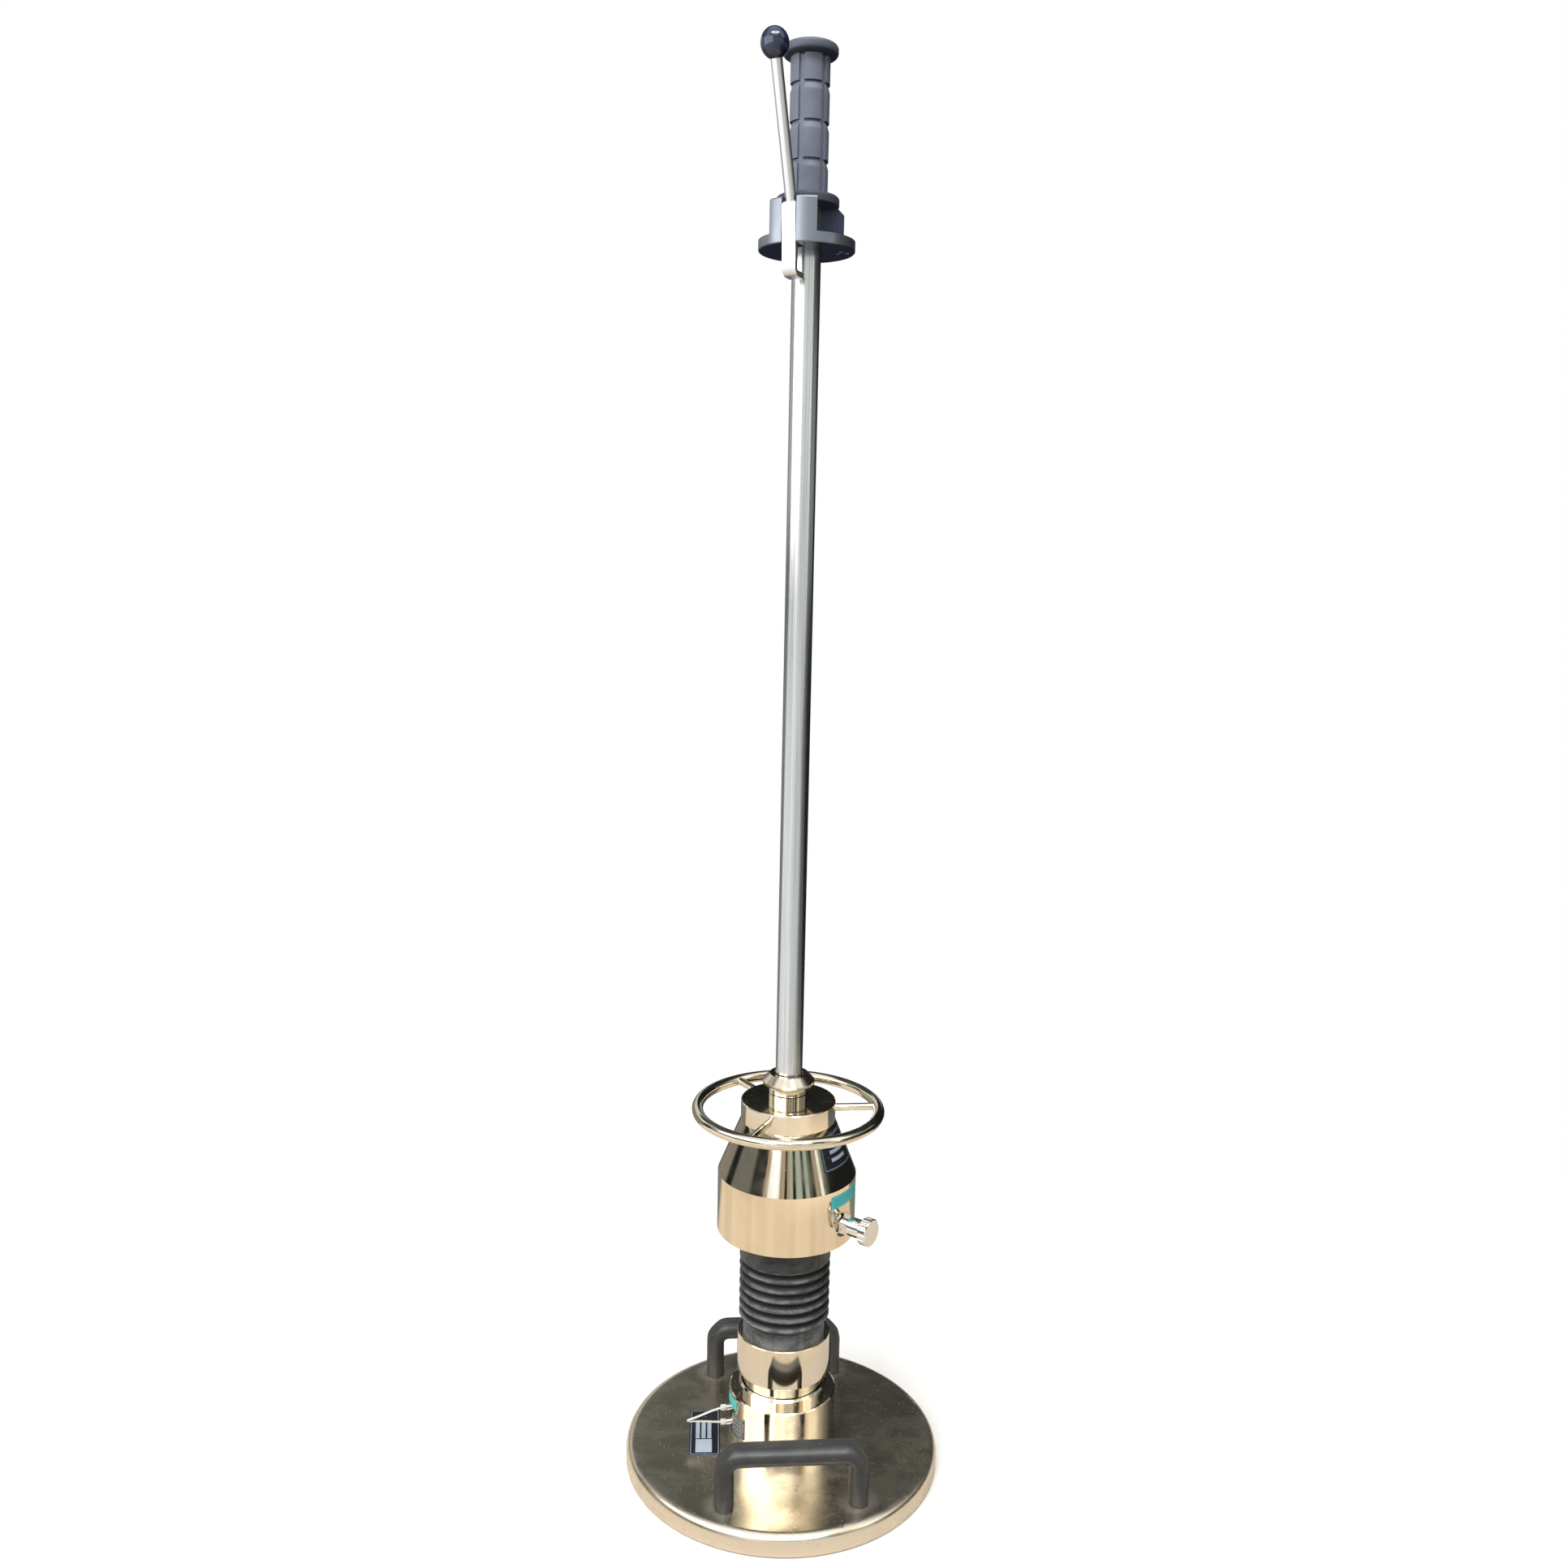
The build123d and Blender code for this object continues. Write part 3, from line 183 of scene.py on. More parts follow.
# Blank fields on the labels, as shares of a label: middle across and along, half width and half length
plate_label_fields = [(across, 0.06, 0.065, 0.20) for across in (-0.225, -0.037, 0.150)]
plate_label_fields.append((-0.028, -0.30, 0.26, 0.14))
cone_label_fields = [(-0.02, along, 0.24, 0.05) for along in (0.22, 0.0, -0.22)]
nameplate_fields = [(0, along, 0.30, 0.026) for along in (0.22, 0.0, -0.22)]

# Colours, as linear red, green, blue
white = (1.0, 1.0, 1.0)
plating_pale = (0.84, 0.77, 0.64)
plating_warm = (0.79, 0.70, 0.55)
plating_brown = (0.62, 0.52, 0.38)
dust_tone = (0.40, 0.39, 0.34)
steel_pale = (0.80, 0.81, 0.80)
steel_grey = (0.56, 0.57, 0.57)
lever_rod_pale = (0.80, 0.80, 0.79)
lever_rod_grey = (0.40, 0.40, 0.39)
seat_shade = (0.36, 0.36, 0.36)
chrome_tone = (0.86, 0.87, 0.87)
phosphate_tone = (0.10, 0.10, 0.11)
phosphate_shade = (0.05, 0.05, 0.05)
zinc_tone = (0.55, 0.55, 0.54)
zinc_shade = (0.36, 0.35, 0.33)
bronze_tone = (0.55, 0.36, 0.16)
bronze_shade = (0.34, 0.22, 0.10)
nickel_tone = (0.68, 0.66, 0.60)
nickel_shade = (0.48, 0.46, 0.42)
anodised_tone = (0.245, 0.268, 0.318)
anodised_light = (0.34, 0.368, 0.415)
# painted shade of the head's recess and undersides
anodised_painted_shade = (0.016, 0.018, 0.046)
# worn edges, lightened also as a painted highlight
anodised_worn_and_highlight = (0.78, 0.81, 0.86)
# bare aluminium of the chips, and the painted highlight on faces that slope up
anodised_bare_and_highlight = (0.90, 0.90, 0.92)
coat_black = (0.030, 0.031, 0.033)
coat_grey = (0.062, 0.064, 0.067)
rubber_black = (0.011, 0.013, 0.016)
# painted shade of the boot's valleys
rubber_painted_shade = (0.004, 0.005, 0.006)
# dust, and painted highlight on the boot's crests, upper faces and cuff lip
rubber_dust_and_highlight = (0.33, 0.345, 0.36)
grip_tone = (0.130, 0.146, 0.192)
grip_light = (0.195, 0.213, 0.272)
# painted shade of the grip's cap, foot and undersides
grip_painted_shade = (0.020, 0.024, 0.038)
bakelite_tone = (0.013, 0.020, 0.056)
insert_black = (0.015, 0.015, 0.016)
lead_black = (0.012, 0.012, 0.013)
teal_tone = (0.08, 0.64, 0.66)
teal_print = (0.55, 0.75, 0.75)
# ink, also the dark seam at the sleeve joint and the line at the handles' feet, which is partly painted
# contact shadow
ink_and_shade_black = (0.008, 0.010, 0.016)
label_paper = (0.38, 0.44, 0.53)
nameplate_silver = (0.50, 0.51, 0.50)
nameplate_ink = (0.10, 0.10, 0.10)
nylon_tone = (0.80, 0.80, 0.76)
nylon_yellowed = (0.66, 0.66, 0.60)


class Bench:
    """One node tree, with short ways to add nodes to it and join them."""

    def __init__(self, tree):
        self.tree = tree

    def join(self, value, socket):
        """Links a socket or sets a plain value, where a colour takes full alpha."""
        if isinstance(value, bpy.types.NodeSocket):
            self.tree.links.new(value, socket)
        elif socket.type == "RGBA":
            socket.default_value = (*value, 1.0)
        else:
            socket.default_value = value

    def node(self, kind, inputs=None, **settings):
        made = self.tree.nodes.new(kind)
        for name, value in settings.items():
            setattr(made, name, value)
        for socket, value in (inputs or {}).items():
            self.join(value, made.inputs[socket])
        return made

    def maths(self, operation, *values, clamp=False):
        made = self.node("ShaderNodeMath", dict(enumerate(values)), operation=operation, use_clamp=clamp)
        return made.outputs[0]

    def chain(self, operation, values):
        result = values[0]
        for value in values[1:]:
            result = self.maths(operation, result, value)
        return result

    def total(self, *values):
        return self.chain("ADD", values)

    def product(self, *values):
        return self.chain("MULTIPLY", values)

    def highest(self, *values):
        return self.chain("MAXIMUM", values)

    def lowest(self, *values):
        return self.chain("MINIMUM", values)

    def less(self, value, taken):
        return self.maths("SUBTRACT", value, taken)

    def rest(self, value):
        return self.less(1.0, value)

    def ratio(self, value, whole):
        return self.maths("DIVIDE", value, whole)

    def off(self, value, middle):
        return self.maths("ABSOLUTE", self.less(value, middle))

    def radius(self, x, y):
        return self.maths("SQRT", self.total(self.product(x, x), self.product(y, y)))

    def mixed(self, base, *shares):
        """A base value with each mask added by its share."""
        return self.total(base, *(self.product(mask, share) for mask, share in shares))

    def spread(self, value, low, high, to_low=0.0, to_high=1.0):
        made = self.node("ShaderNodeMapRange", {0: value, 1: low, 2: high, 3: to_low, 4: to_high},
                         interpolation_type="SMOOTHSTEP")
        return made.outputs[0]

    def fade(self, value, low, high, full=1.0):
        """Full up to the low value and gone at the high one."""
        return self.spread(value, low, high, full, 0.0)

    def blend(self, share, first, second):
        made = self.node("ShaderNodeMix", {0: share, 6: first, 7: second}, data_type="RGBA")
        return made.outputs[2]

    def stretch(self, place, scale, turn=(0, 0, 0)):
        made = self.node("ShaderNodeMapping", {"Vector": place, "Scale": scale, "Rotation": turn})
        return made.outputs[0]

    def turned(self, place, degrees):
        """A place turned back about the upright axis, so that what stands at that angle lies along X."""
        return self.stretch(place, (1, 1, 1), (0, 0, math.radians(-degrees)))

    def noise(self, place, scale, detail=3.0, roughness=0.55, distortion=0.0):
        made = self.node("ShaderNodeTexNoise", {"Vector": place, "Scale": scale, "Detail": detail,
                                                "Roughness": roughness, "Distortion": distortion})
        return made.outputs[0]

    def parts(self, vector):
        return self.node("ShaderNodeSeparateXYZ", {0: vector}).outputs

    def vector(self, x, y, z):
        return self.node("ShaderNodeCombineXYZ", {0: x, 1: y, 2: z}).outputs[0]

    def facing(self):
        """How far a face looks up, from -1 to 1."""
        return self.parts(self.node("ShaderNodeNewGeometry").outputs["Normal"])[2]


def new_group(name, kind, inputs, output):
    """Empty node group with named inputs and one output of given kinds, its bench and its two ends."""
    group = bpy.data.node_groups.new(name, kind)
    for way, sockets in (("INPUT", inputs), ("OUTPUT", output)):
        for label, socket in sockets.items():
            group.interface.new_socket(label, in_out=way, socket_type="NodeSocket" + socket)
    bench = Bench(group)
    entry = bench.node("NodeGroupInput").outputs
    leave = bench.node("NodeGroupOutput").inputs[0]
    return group, bench, entry, leave


def shader_effect(name, numbers, output):
    """Empty shader group with a Place vector, number inputs and one number output."""
    inputs = {"Place": "Vector"} | dict.fromkeys(numbers, "Float")
    return new_group(name, "ShaderNodeTree", inputs, {output: "Float"})


def make_dust():
    """Settled dust: loose specks and a thin patchy film, thicker on faces that look up."""
    group, bench, entry, leave = shader_effect("settled_dust", ("Size", "Specks", "Film", "Settling"), "Mask")
    cells = bench.node("ShaderNodeTexVoronoi", {"Vector": entry["Place"], "Scale": entry["Size"]})
    chance = bench.parts(cells.outputs["Color"])[0]
    reach = bench.product(bench.maths("POWER", chance, 6.0), 0.34)
    speck = bench.fade(bench.less(cells.outputs["Distance"], reach), -0.06, 0.0)
    patch = bench.spread(bench.noise(entry["Place"], 11.0, 9.0, 0.74, 0.2), 0.34, 0.76)
    fine = bench.noise(entry["Place"], 900.0, 2.0)
    film = bench.product(patch, bench.spread(fine, 0.3, 0.7, 0.5, 1.0))
    settled = bench.spread(bench.facing(), 0.1, 0.9)
    keep = bench.rest(bench.product(entry["Settling"], bench.rest(settled)))
    both = bench.mixed(bench.product(speck, entry["Specks"]), (film, entry["Film"]))
    bench.join(bench.maths("MULTIPLY", both, keep, clamp=True), leave)
    return group


def make_smudges():
    """Soft hand smudges and wiped streaks, from 0 where clean to 1 where dull."""
    group, bench, entry, leave = shader_effect("hand_smudges", ("Size",), "Dullness")
    broad = bench.noise(entry["Place"], entry["Size"], 4.0, 0.6, 1.4)
    drawn_out = bench.stretch(entry["Place"], (1.0, 3.5, 2.0), (0.4, 0.2, 0.9))
    wiped = bench.noise(drawn_out, entry["Size"], 5.0, 0.65)
    both = bench.mixed(bench.product(broad, 0.6), (wiped, 0.4))
    bench.join(bench.spread(both, 0.38, 0.66), leave)
    return group


def make_scratches():
    """Short straight hairlines in two crossing directions."""
    group, bench, entry, leave = shader_effect("hairline_scratches", ("Size", "Amount"), "Mask")
    lines = []
    for turn in ((0.3, 0.5, 0.7), (0.9, -0.4, -0.5)):
        long_way = bench.stretch(entry["Place"], (1.0, 26.0, 26.0), turn)
        lines.append(bench.noise(long_way, entry["Size"], 2.0, 0.6, 0.2))
    level = bench.less(0.86, bench.product(entry["Amount"], 0.2))
    mask = bench.spread(bench.less(bench.highest(*lines), level), 0.0, 0.03)
    patch = bench.spread(bench.noise(entry["Place"], 22.0, 2.0), 0.4, 0.6)
    bench.join(bench.product(mask, patch), leave)
    return group


def make_turning():
    """Fine rings left by the lathe on faces turned about the rod's axis."""
    group, bench, entry, leave = shader_effect("turning_rings", ("Fineness",), "Height")
    x, y, z = bench.parts(entry["Place"])
    along = bench.product(bench.mixed(z, (bench.radius(x, y), 0.8)), entry["Fineness"])
    rings = bench.node("ShaderNodeTexNoise", {"W": along, "Scale": 1.0, "Detail": 3.0}, noise_dimensions="1D")
    bench.join(rings.outputs[0], leave)
    return group


def make_grain():
    """Long drawn grain that runs along the Z axis of the place it is given."""
    group, bench, entry, leave = shader_effect("drawn_grain", ("Fineness",), "Height")
    long_way = bench.stretch(entry["Place"], (1.0, 1.0, 0.004))
    bench.join(bench.noise(long_way, entry["Fineness"], 4.0, 0.65), leave)
    return group


def make_field():
    """Blank rectangle on a label: 1 inside, 0 outside, with a slightly soft printed edge."""
    numbers = ("Across", "Along", "Middle Across", "Middle Along", "Half Width", "Half Length")
    group, bench, entry, leave = new_group("label_field", "ShaderNodeTree", dict.fromkeys(numbers, "Float"),
                                           {"Mask": "Float"})
    sides = []
    for way, half in (("Across", "Half Width"), ("Along", "Half Length")):
        off = bench.off(entry[way], entry["Middle " + way])
        sides.append(bench.fade(bench.less(off, entry[half]), -0.006, 0.006))
    bench.join(bench.product(*sides), leave)
    return group


dust_effect = make_dust()
smudge_effect = make_smudges()
scratch_effect = make_scratches()
turning_effect = make_turning()
grain_effect = make_grain()
field_effect = make_field()


class Finish(Bench):
    """Bench of a new material with one Principled surface, and the wear that the finishes share.

    Its place is the piece's own coordinates, or those that the named attribute keeps.
    """

    def __init__(self, name, attribute=None):
        self.material = bpy.data.materials.new(name)
        self.material.use_nodes = True
        super().__init__(self.material.node_tree)
        self.surface = self.tree.nodes["Principled BSDF"].inputs
        if attribute:
            self.place = self.node("ShaderNodeAttribute", attribute_name=attribute).outputs["Vector"]
        else:
            self.place = self.node("ShaderNodeTexCoord").outputs["Object"]

    def effect(self, group, **inputs):
        made = self.node("ShaderNodeGroup", {"Place": self.place} | inputs, node_tree=group)
        return made.outputs[0]

    def smudges(self, size):
        return self.effect(smudge_effect, Size=size)

    def scratches(self, size, amount):
        return self.effect(scratch_effect, Size=size, Amount=amount)

    def dust(self, size, specks, film, settling):
        return self.effect(dust_effect, Size=size, Specks=specks, Film=film, Settling=settling)

    def rings(self, fineness):
        return self.effect(turning_effect, Fineness=fineness)

    def done(self, relief, strength, depth, **inputs):
        """Gives the surface its relief and its other inputs, and hands over the material."""
        bump = self.node("ShaderNodeBump", {"Height": relief, "Strength": strength, "Distance": depth})
        self.join(bump.outputs[0], self.surface["Normal"])
        for name, value in inputs.items():
            self.join(value, self.surface[name.replace("_", " ")])
        return self.material


def foot_grime(bench):
    """Grime on the plate, gathered round the feet of the handles."""
    x, y, _ = bench.parts(bench.turned(bench.place, handle_turn))
    aside = bench.less(bench.maths("ABSOLUTE", x), handle_foot[0] * MM)
    ahead = bench.less(bench.maths("ABSOLUTE", y), handle_foot[1] * MM)
    off = bench.radius(aside, ahead)
    near = bench.fade(off, foot_grime_inner * MM, foot_grime_outer * MM, foot_grime_share)
    patchy = bench.spread(bench.noise(bench.place, 140.0, 4.0, 0.6), 0.3, 0.65, 0.5, 1.0)
    return bench.product(near, patchy)


def plated_finish(name, specks=0.3, film=0.05, smudge=0.08, scratch=0.3, polish=0.045, joint=0, haze=0.0,
                  feet=False):
    """Bright warm plating with smudges, hairlines, turning rings, settled dust and even haze.

    joint is the height of a fine seam, feet gathers grime round the feet of the handles.
    """
    bench = Finish(name)
    place = bench.place
    dull = bench.smudges(16.0)
    hairlines = bench.scratches(30.0, scratch)
    dust = bench.dust(460.0, specks, film, 0.8)
    if haze:
        dust = bench.highest(dust, haze)
    if feet:
        dust = bench.total(dust, foot_grime(bench))
    tone = bench.blend(bench.noise(place, 5.0, 2.0), plating_warm, plating_pale)
    stain = bench.spread(bench.noise(place, 30.0, 5.0, 0.6, 0.8), 0.52, 0.78, 0.0, 0.45)
    tone = bench.blend(stain, tone, plating_brown)
    if joint:
        off = bench.off(bench.parts(place)[2], joint * MM)
        seam = bench.fade(off, *(distance * MM for distance in joint_fade))
        broken = bench.spread(bench.noise(place, 180.0), 0.25, 0.5)
        tone = bench.blend(bench.product(seam, broken), tone, ink_and_shade_black)
    relief = bench.mixed(bench.product(bench.rings(2600.0), 0.02), (hairlines, -0.25), (dust, 0.6))
    return bench.done(relief, 0.12, 0.0004,
                      Base_Color=bench.blend(dust, tone, dust_tone),
                      Metallic=bench.rest(bench.product(dust, 0.9)),
                      Roughness=bench.mixed(polish, (dull, smudge), (hairlines, 0.22), (dust, 0.5)))


def steel_finish(name, tone, shade, rough, grain, fineness, relief=0.1, smudge=0.07, bearing=0, tilt=0):
    """Ground or drawn steel with long grain, smudges and a little dust.

    bearing and tilt, in degrees, set a leaning piece upright for its grain.
    """
    bench = Finish(name)
    upright = bench.stretch(bench.turned(bench.place, bearing), (1, 1, 1), (0, math.radians(-tilt), 0))
    drawn = bench.effect(grain_effect, Place=upright, Fineness=fineness)
    dull = bench.smudges(24.0)
    hairlines = bench.scratches(40.0, 0.35)
    dust = bench.dust(320.0, 0.1, 0.02, 0.7)
    colour = bench.blend(bench.spread(drawn, 0.3, 0.7), shade, tone)
    worked = bench.mixed(bench.product(drawn, 0.6), (hairlines, -0.4))
    varied = bench.mixed(rough, (drawn, grain), (dull, smudge), (hairlines, 0.12), (dust, 0.4))
    return bench.done(worked, relief, 0.0003,
                      Base_Color=bench.blend(dust, colour, dust_tone),
                      Metallic=bench.rest(bench.product(dust, 0.9)),
                      Roughness=varied)


def turned_finish(name, tone, shade, rough, fineness):
    """Turned metal with visible rings, oil-dulled in patches."""
    bench = Finish(name)
    rings = bench.rings(fineness)
    dull = bench.smudges(30.0)
    return bench.done(rings, 0.18, 0.0003,
                      Base_Color=bench.blend(bench.spread(dull, 0.0, 1.0, 0.0, 0.6), tone, shade),
                      Metallic=1.0,
                      Roughness=bench.mixed(rough, (rings, 0.18), (dull, 0.12)))


def anodised_finish(name, light, edge=0.0, chips=()):
    """Dark anodised aluminium, satin, with rubbed patches, painted shade in the recess and on faces that look
    down, and a painted highlight on faces that slope up.

    edge lightens it for worn corners and as a painted highlight on eased edges, chips are bare spots under
    the flange.
    """
    bench = Finish(name)
    place = bench.place
    x, y, z = bench.parts(bench.turned(place, head_turn))
    # painted shade in the recess above the flange, fading towards the back
    notch_shade = bench.product(bench.spread(x, (head_notch + 0.05) * MM, (head_notch + 0.3) * MM),
                          bench.fade(y, *(distance * MM for distance in notch_shade_fade)),
                          bench.spread(z, (head_flange_top + 0.1) * MM, (head_flange_top + 0.5) * MM))
    rubbed = bench.smudges(34.0)
    hairlines = bench.scratches(46.0, 0.4)
    dust = bench.dust(420.0, 0.35, 0.05, 0.6)
    blast = bench.noise(place, 2600.0, 2.0)
    share = bench.mixed(edge, (rubbed, 0.25), (hairlines, 0.5))
    colour = bench.blend(bench.lowest(share, 1.0), anodised_tone, light)
    facing = bench.facing()
    # painted shade: the recess and faces that look down go dark
    painted_shade = bench.highest(notch_shade, bench.fade(facing, -0.95, -0.60, 0.75))
    colour = bench.blend(painted_shade, colour, anodised_painted_shade)
    # painted highlight: faces that slope up, as the top chamfers, go near white
    sloped = bench.product(bench.spread(facing, 0.50, 0.62), bench.fade(facing, 0.80, 0.92))
    sloped_highlight = bench.product(sloped, bench.spread(rubbed, 0.0, 0.5, 0.5, 0.9))
    colour = bench.blend(sloped_highlight, colour, anodised_bare_and_highlight)
    ragged = bench.product(bench.less(bench.noise(place, 900.0, 3.0), 0.5), chip_raggedness * MM)
    chipped = 0.0
    for aside, ahead, size in chips:
        middle = (aside * MM, ahead * MM, head_flange_bottom * MM)
        away = bench.node("ShaderNodeVectorMath", {0: place, 1: middle}, operation="DISTANCE")
        bare = bench.fade(bench.total(away.outputs["Value"], ragged), size * 0.8 * MM, size * MM)
        chipped = bench.highest(chipped, bare)
    colour = bench.blend(chipped, colour, anodised_bare_and_highlight)
    dulled = bench.mixed(bench.product(dust, 0.7), (chipped, 0.8))
    return bench.done(bench.mixed(blast, (hairlines, -1.0)), 0.10, 0.0002,
                      Base_Color=bench.blend(dust, colour, dust_tone),
                      Metallic=bench.maths("SUBTRACT", 0.9, dulled, clamp=True),
                      Roughness=bench.mixed(0.32, (rubbed, -0.05), (blast, 0.08), (dust, 0.2)))


def coated_finish(name):
    """Matte black coat with a fine orange peel, rubbed patches and dust, and a dark line at the bottom of
    each foot: a seam and painted contact shadow.
    """
    bench = Finish(name)
    rubbed = bench.smudges(28.0)
    hairlines = bench.scratches(40.0, 0.45)
    dust = bench.dust(300.0, 0.3, 0.05, 0.7)
    peel = bench.noise(bench.place, 1500.0, 2.0, 0.5)
    share = bench.mixed(bench.product(rubbed, 0.5), (hairlines, 0.5))
    colour = bench.blend(bench.lowest(share, 1.0), coat_black, coat_grey)
    # dark line at the bottom of each foot: a seam and painted contact shadow
    foot = bench.fade(bench.parts(bench.place)[2], *(height * MM for height in foot_seam_and_shade_line))
    colour = bench.blend(foot, colour, ink_and_shade_black)
    return bench.done(bench.mixed(peel, (hairlines, -0.8)), 0.22, 0.0003,
                      Base_Color=bench.blend(dust, colour, dust_tone),
                      Roughness=bench.mixed(0.40, (rubbed, -0.05), (peel, 0.06), (dust, 0.3)),
                      Specular_IOR_Level=0.5)


def boot_finish(name):
    """Black rubber with painted shade in its valleys, grey with dust and painted highlight on its crests,
    upper faces and cuff lip, and dusty on its lower cuff.

    The dust and the painted marks keep their place on the rubber as the ribs close.
    """
    bench = Finish(name, boot_rest_place)
    place = bench.place
    x, y, z = bench.parts(place)
    radius = bench.radius(x, y)
    high = bench.spread(z, (cuff_edge - 0.8) * MM, (cuff_edge + 0.4) * MM, 1.0, 0.1)
    # dust and painted highlight along the lower lip of the upper cuff
    lip = bench.product(bench.spread(z, (cuff_edge - 0.2) * MM, cuff_edge * MM),
                        bench.fade(z, (cuff_edge + 0.3) * MM, (cuff_edge + 1.6) * MM))
    upper = bench.rest(high)
    low = bench.fade(z, (rib_bottom - 1) * MM, (rib_bottom + 2) * MM)
    # dust and painted highlight on the crests, and on upper faces near them
    crest = bench.product(high, bench.spread(radius, (rib_crest - 1.1) * MM, rib_crest * MM))
    upper_face_dust_and_highlight = bench.product(high, bench.spread(radius, (rib_crest - 2.8) * MM, (rib_crest - 0.6) * MM),
                             bench.spread(bench.facing(), -0.25, 0.45))
    ribbed = bench.product(bench.rest(upper), bench.rest(low))
    # painted shade in the valleys between the ribs
    valley = bench.product(ribbed, bench.fade(radius, (rib_valley + 0.6) * MM, (rib_crest - 1.0) * MM))
    open_face = bench.rest(valley)
    cloud = bench.noise(place, 46.0, 5.0, 0.65, 0.8)
    streaks = bench.noise(bench.stretch(place, (1.0, 1.0, 9.0)), 70.0, 4.0, 0.6, 0.4)
    dust = bench.dust(380.0, 0.4, 0.06, 0.3)
    wiped = bench.smudges(40.0)
    streaked = bench.product(crest, bench.spread(streaks, 0.36, 0.66, 0.05, 0.60),
                             bench.spread(cloud, 0.3, 0.6, 0.35, 1.0))
    dust_and_highlight = bench.mixed(streaked,
                        (upper_face_dust_and_highlight, bench.spread(cloud, 0.38, 0.66, 0.06, 0.40)),
                        (low, bench.spread(cloud, 0.38, 0.62, 0.06, 0.52)),
                        (upper, bench.spread(cloud, 0.36, 0.64, 0.03, 0.18)),
                        (lip, bench.spread(streaks, 0.40, 0.62, 0.05, 0.45)),
                        (bench.product(wiped, open_face), 0.09),
                        (bench.product(dust, open_face), 0.5))
    rubber = bench.blend(valley, rubber_black, rubber_painted_shade)
    fine = bench.noise(place, 1300.0, 3.0, 0.6)
    return bench.done(bench.mixed(fine, (cloud, 0.6)), 0.18, 0.0004,
                      Base_Color=bench.blend(bench.lowest(dust_and_highlight, 1.0), rubber, rubber_dust_and_highlight),
                      Roughness=bench.mixed(0.40, (dust_and_highlight, 0.35), (wiped, -0.05), (valley, 0.3)),
                      Specular_IOR_Level=0.35)


def grip_finish(name):
    """Slate-grey moulded rubber, finely textured, dusty, with painted shade on its cap, foot and undersides.
    """
    bench = Finish(name)
    worn = bench.smudges(38.0)
    dust = bench.dust(520.0, 0.25, 0.06, 0.2)
    pebble = bench.noise(bench.place, 1900.0, 3.0, 0.6)
    share = bench.mixed(bench.product(worn, 0.4), (bench.spread(pebble, 0.35, 0.65), 0.15))
    colour = bench.blend(share, grip_tone, grip_light)
    height = bench.parts(bench.place)[2]
    # painted shade on the cap, the foot and faces that look down
    cap = bench.spread(height, (grip_cap_underside - 1) * MM, (grip_cap_underside + 1) * MM, 0.0, 0.48)
    foot = bench.fade(height, (grip_foot_top - 0.5) * MM, (grip_foot_top + 0.5) * MM, 0.8)
    painted_shade = bench.highest(cap, foot, bench.fade(bench.facing(), -0.7, -0.3, 0.9))
    colour = bench.blend(painted_shade, colour, grip_painted_shade)
    return bench.done(pebble, 0.22, 0.0003,
                      Base_Color=bench.blend(dust, colour, dust_tone),
                      Roughness=bench.mixed(0.46, (pebble, 0.14), (worn, -0.06)),
                      Specular_IOR_Level=0.35)


def gloss_finish(name, tone, rough, coat=0.0):
    """Glossy moulded plastic with faint smudges, hairlines and specks."""
    bench = Finish(name)
    dull = bench.smudges(60.0)
    hairlines = bench.scratches(60.0, 0.4)
    dust = bench.dust(600.0, 0.15, 0.02, 0.6)
    return bench.done(bench.noise(bench.place, 160.0, 2.0), 0.02, 0.0004,
                      Base_Color=bench.blend(dust, tone, dust_tone),
                      Roughness=bench.mixed(rough, (dull, 0.10), (hairlines, 0.2), (dust, 0.5)),
                      Coat_Weight=coat)


def nylon_finish(name):
    """Milky nylon, faintly ribbed and yellowed in patches."""
    bench = Finish(name)
    cloud = bench.noise(bench.place, 60.0, 3.0)
    return bench.done(bench.noise(bench.place, 900.0, 2.0), 0.12, 0.0003,
                      Base_Color=bench.blend(cloud, nylon_tone, nylon_yellowed),
                      Roughness=bench.mixed(0.28, (cloud, 0.2)),
                      Subsurface_Weight=0.15, Subsurface_Radius=(0.002, 0.002, 0.002))


def across_wrapped(bench, angles, heights):
    """Coordinates on a label wrapped about the rod's axis, from -0.5 to 0.5 both ways."""
    x, y, z = bench.parts(bench.turned(bench.place, sum(angles) / 2))
    across = bench.ratio(bench.maths("ARCTAN2", y, x), math.radians(angles[1] - angles[0]))
    raised = bench.less(z, sum(heights) / 2 * MM)
    return across, bench.ratio(raised, (heights[1] - heights[0]) * MM)


def across_flat(bench, centre, width, length):
    """Coordinates on the plate's flat label, from -0.5 to 0.5 both ways."""
    x, y, _ = bench.parts(bench.place)
    across = bench.ratio(bench.less(x, centre * MM), width * MM)
    return across, bench.ratio(y, length * MM)


def border_fields(inset_across, inset_along, line_across, line_along):
    """Four thin strips that frame a label."""
    return [(0.5 - inset_across, 0, line_across, 0.5 - inset_along),
            (inset_across - 0.5, 0, line_across, 0.5 - inset_along),
            (0, 0.5 - inset_along, 0.5 - inset_across, line_along),
            (0, inset_along - 0.5, 0.5 - inset_across, line_along)]


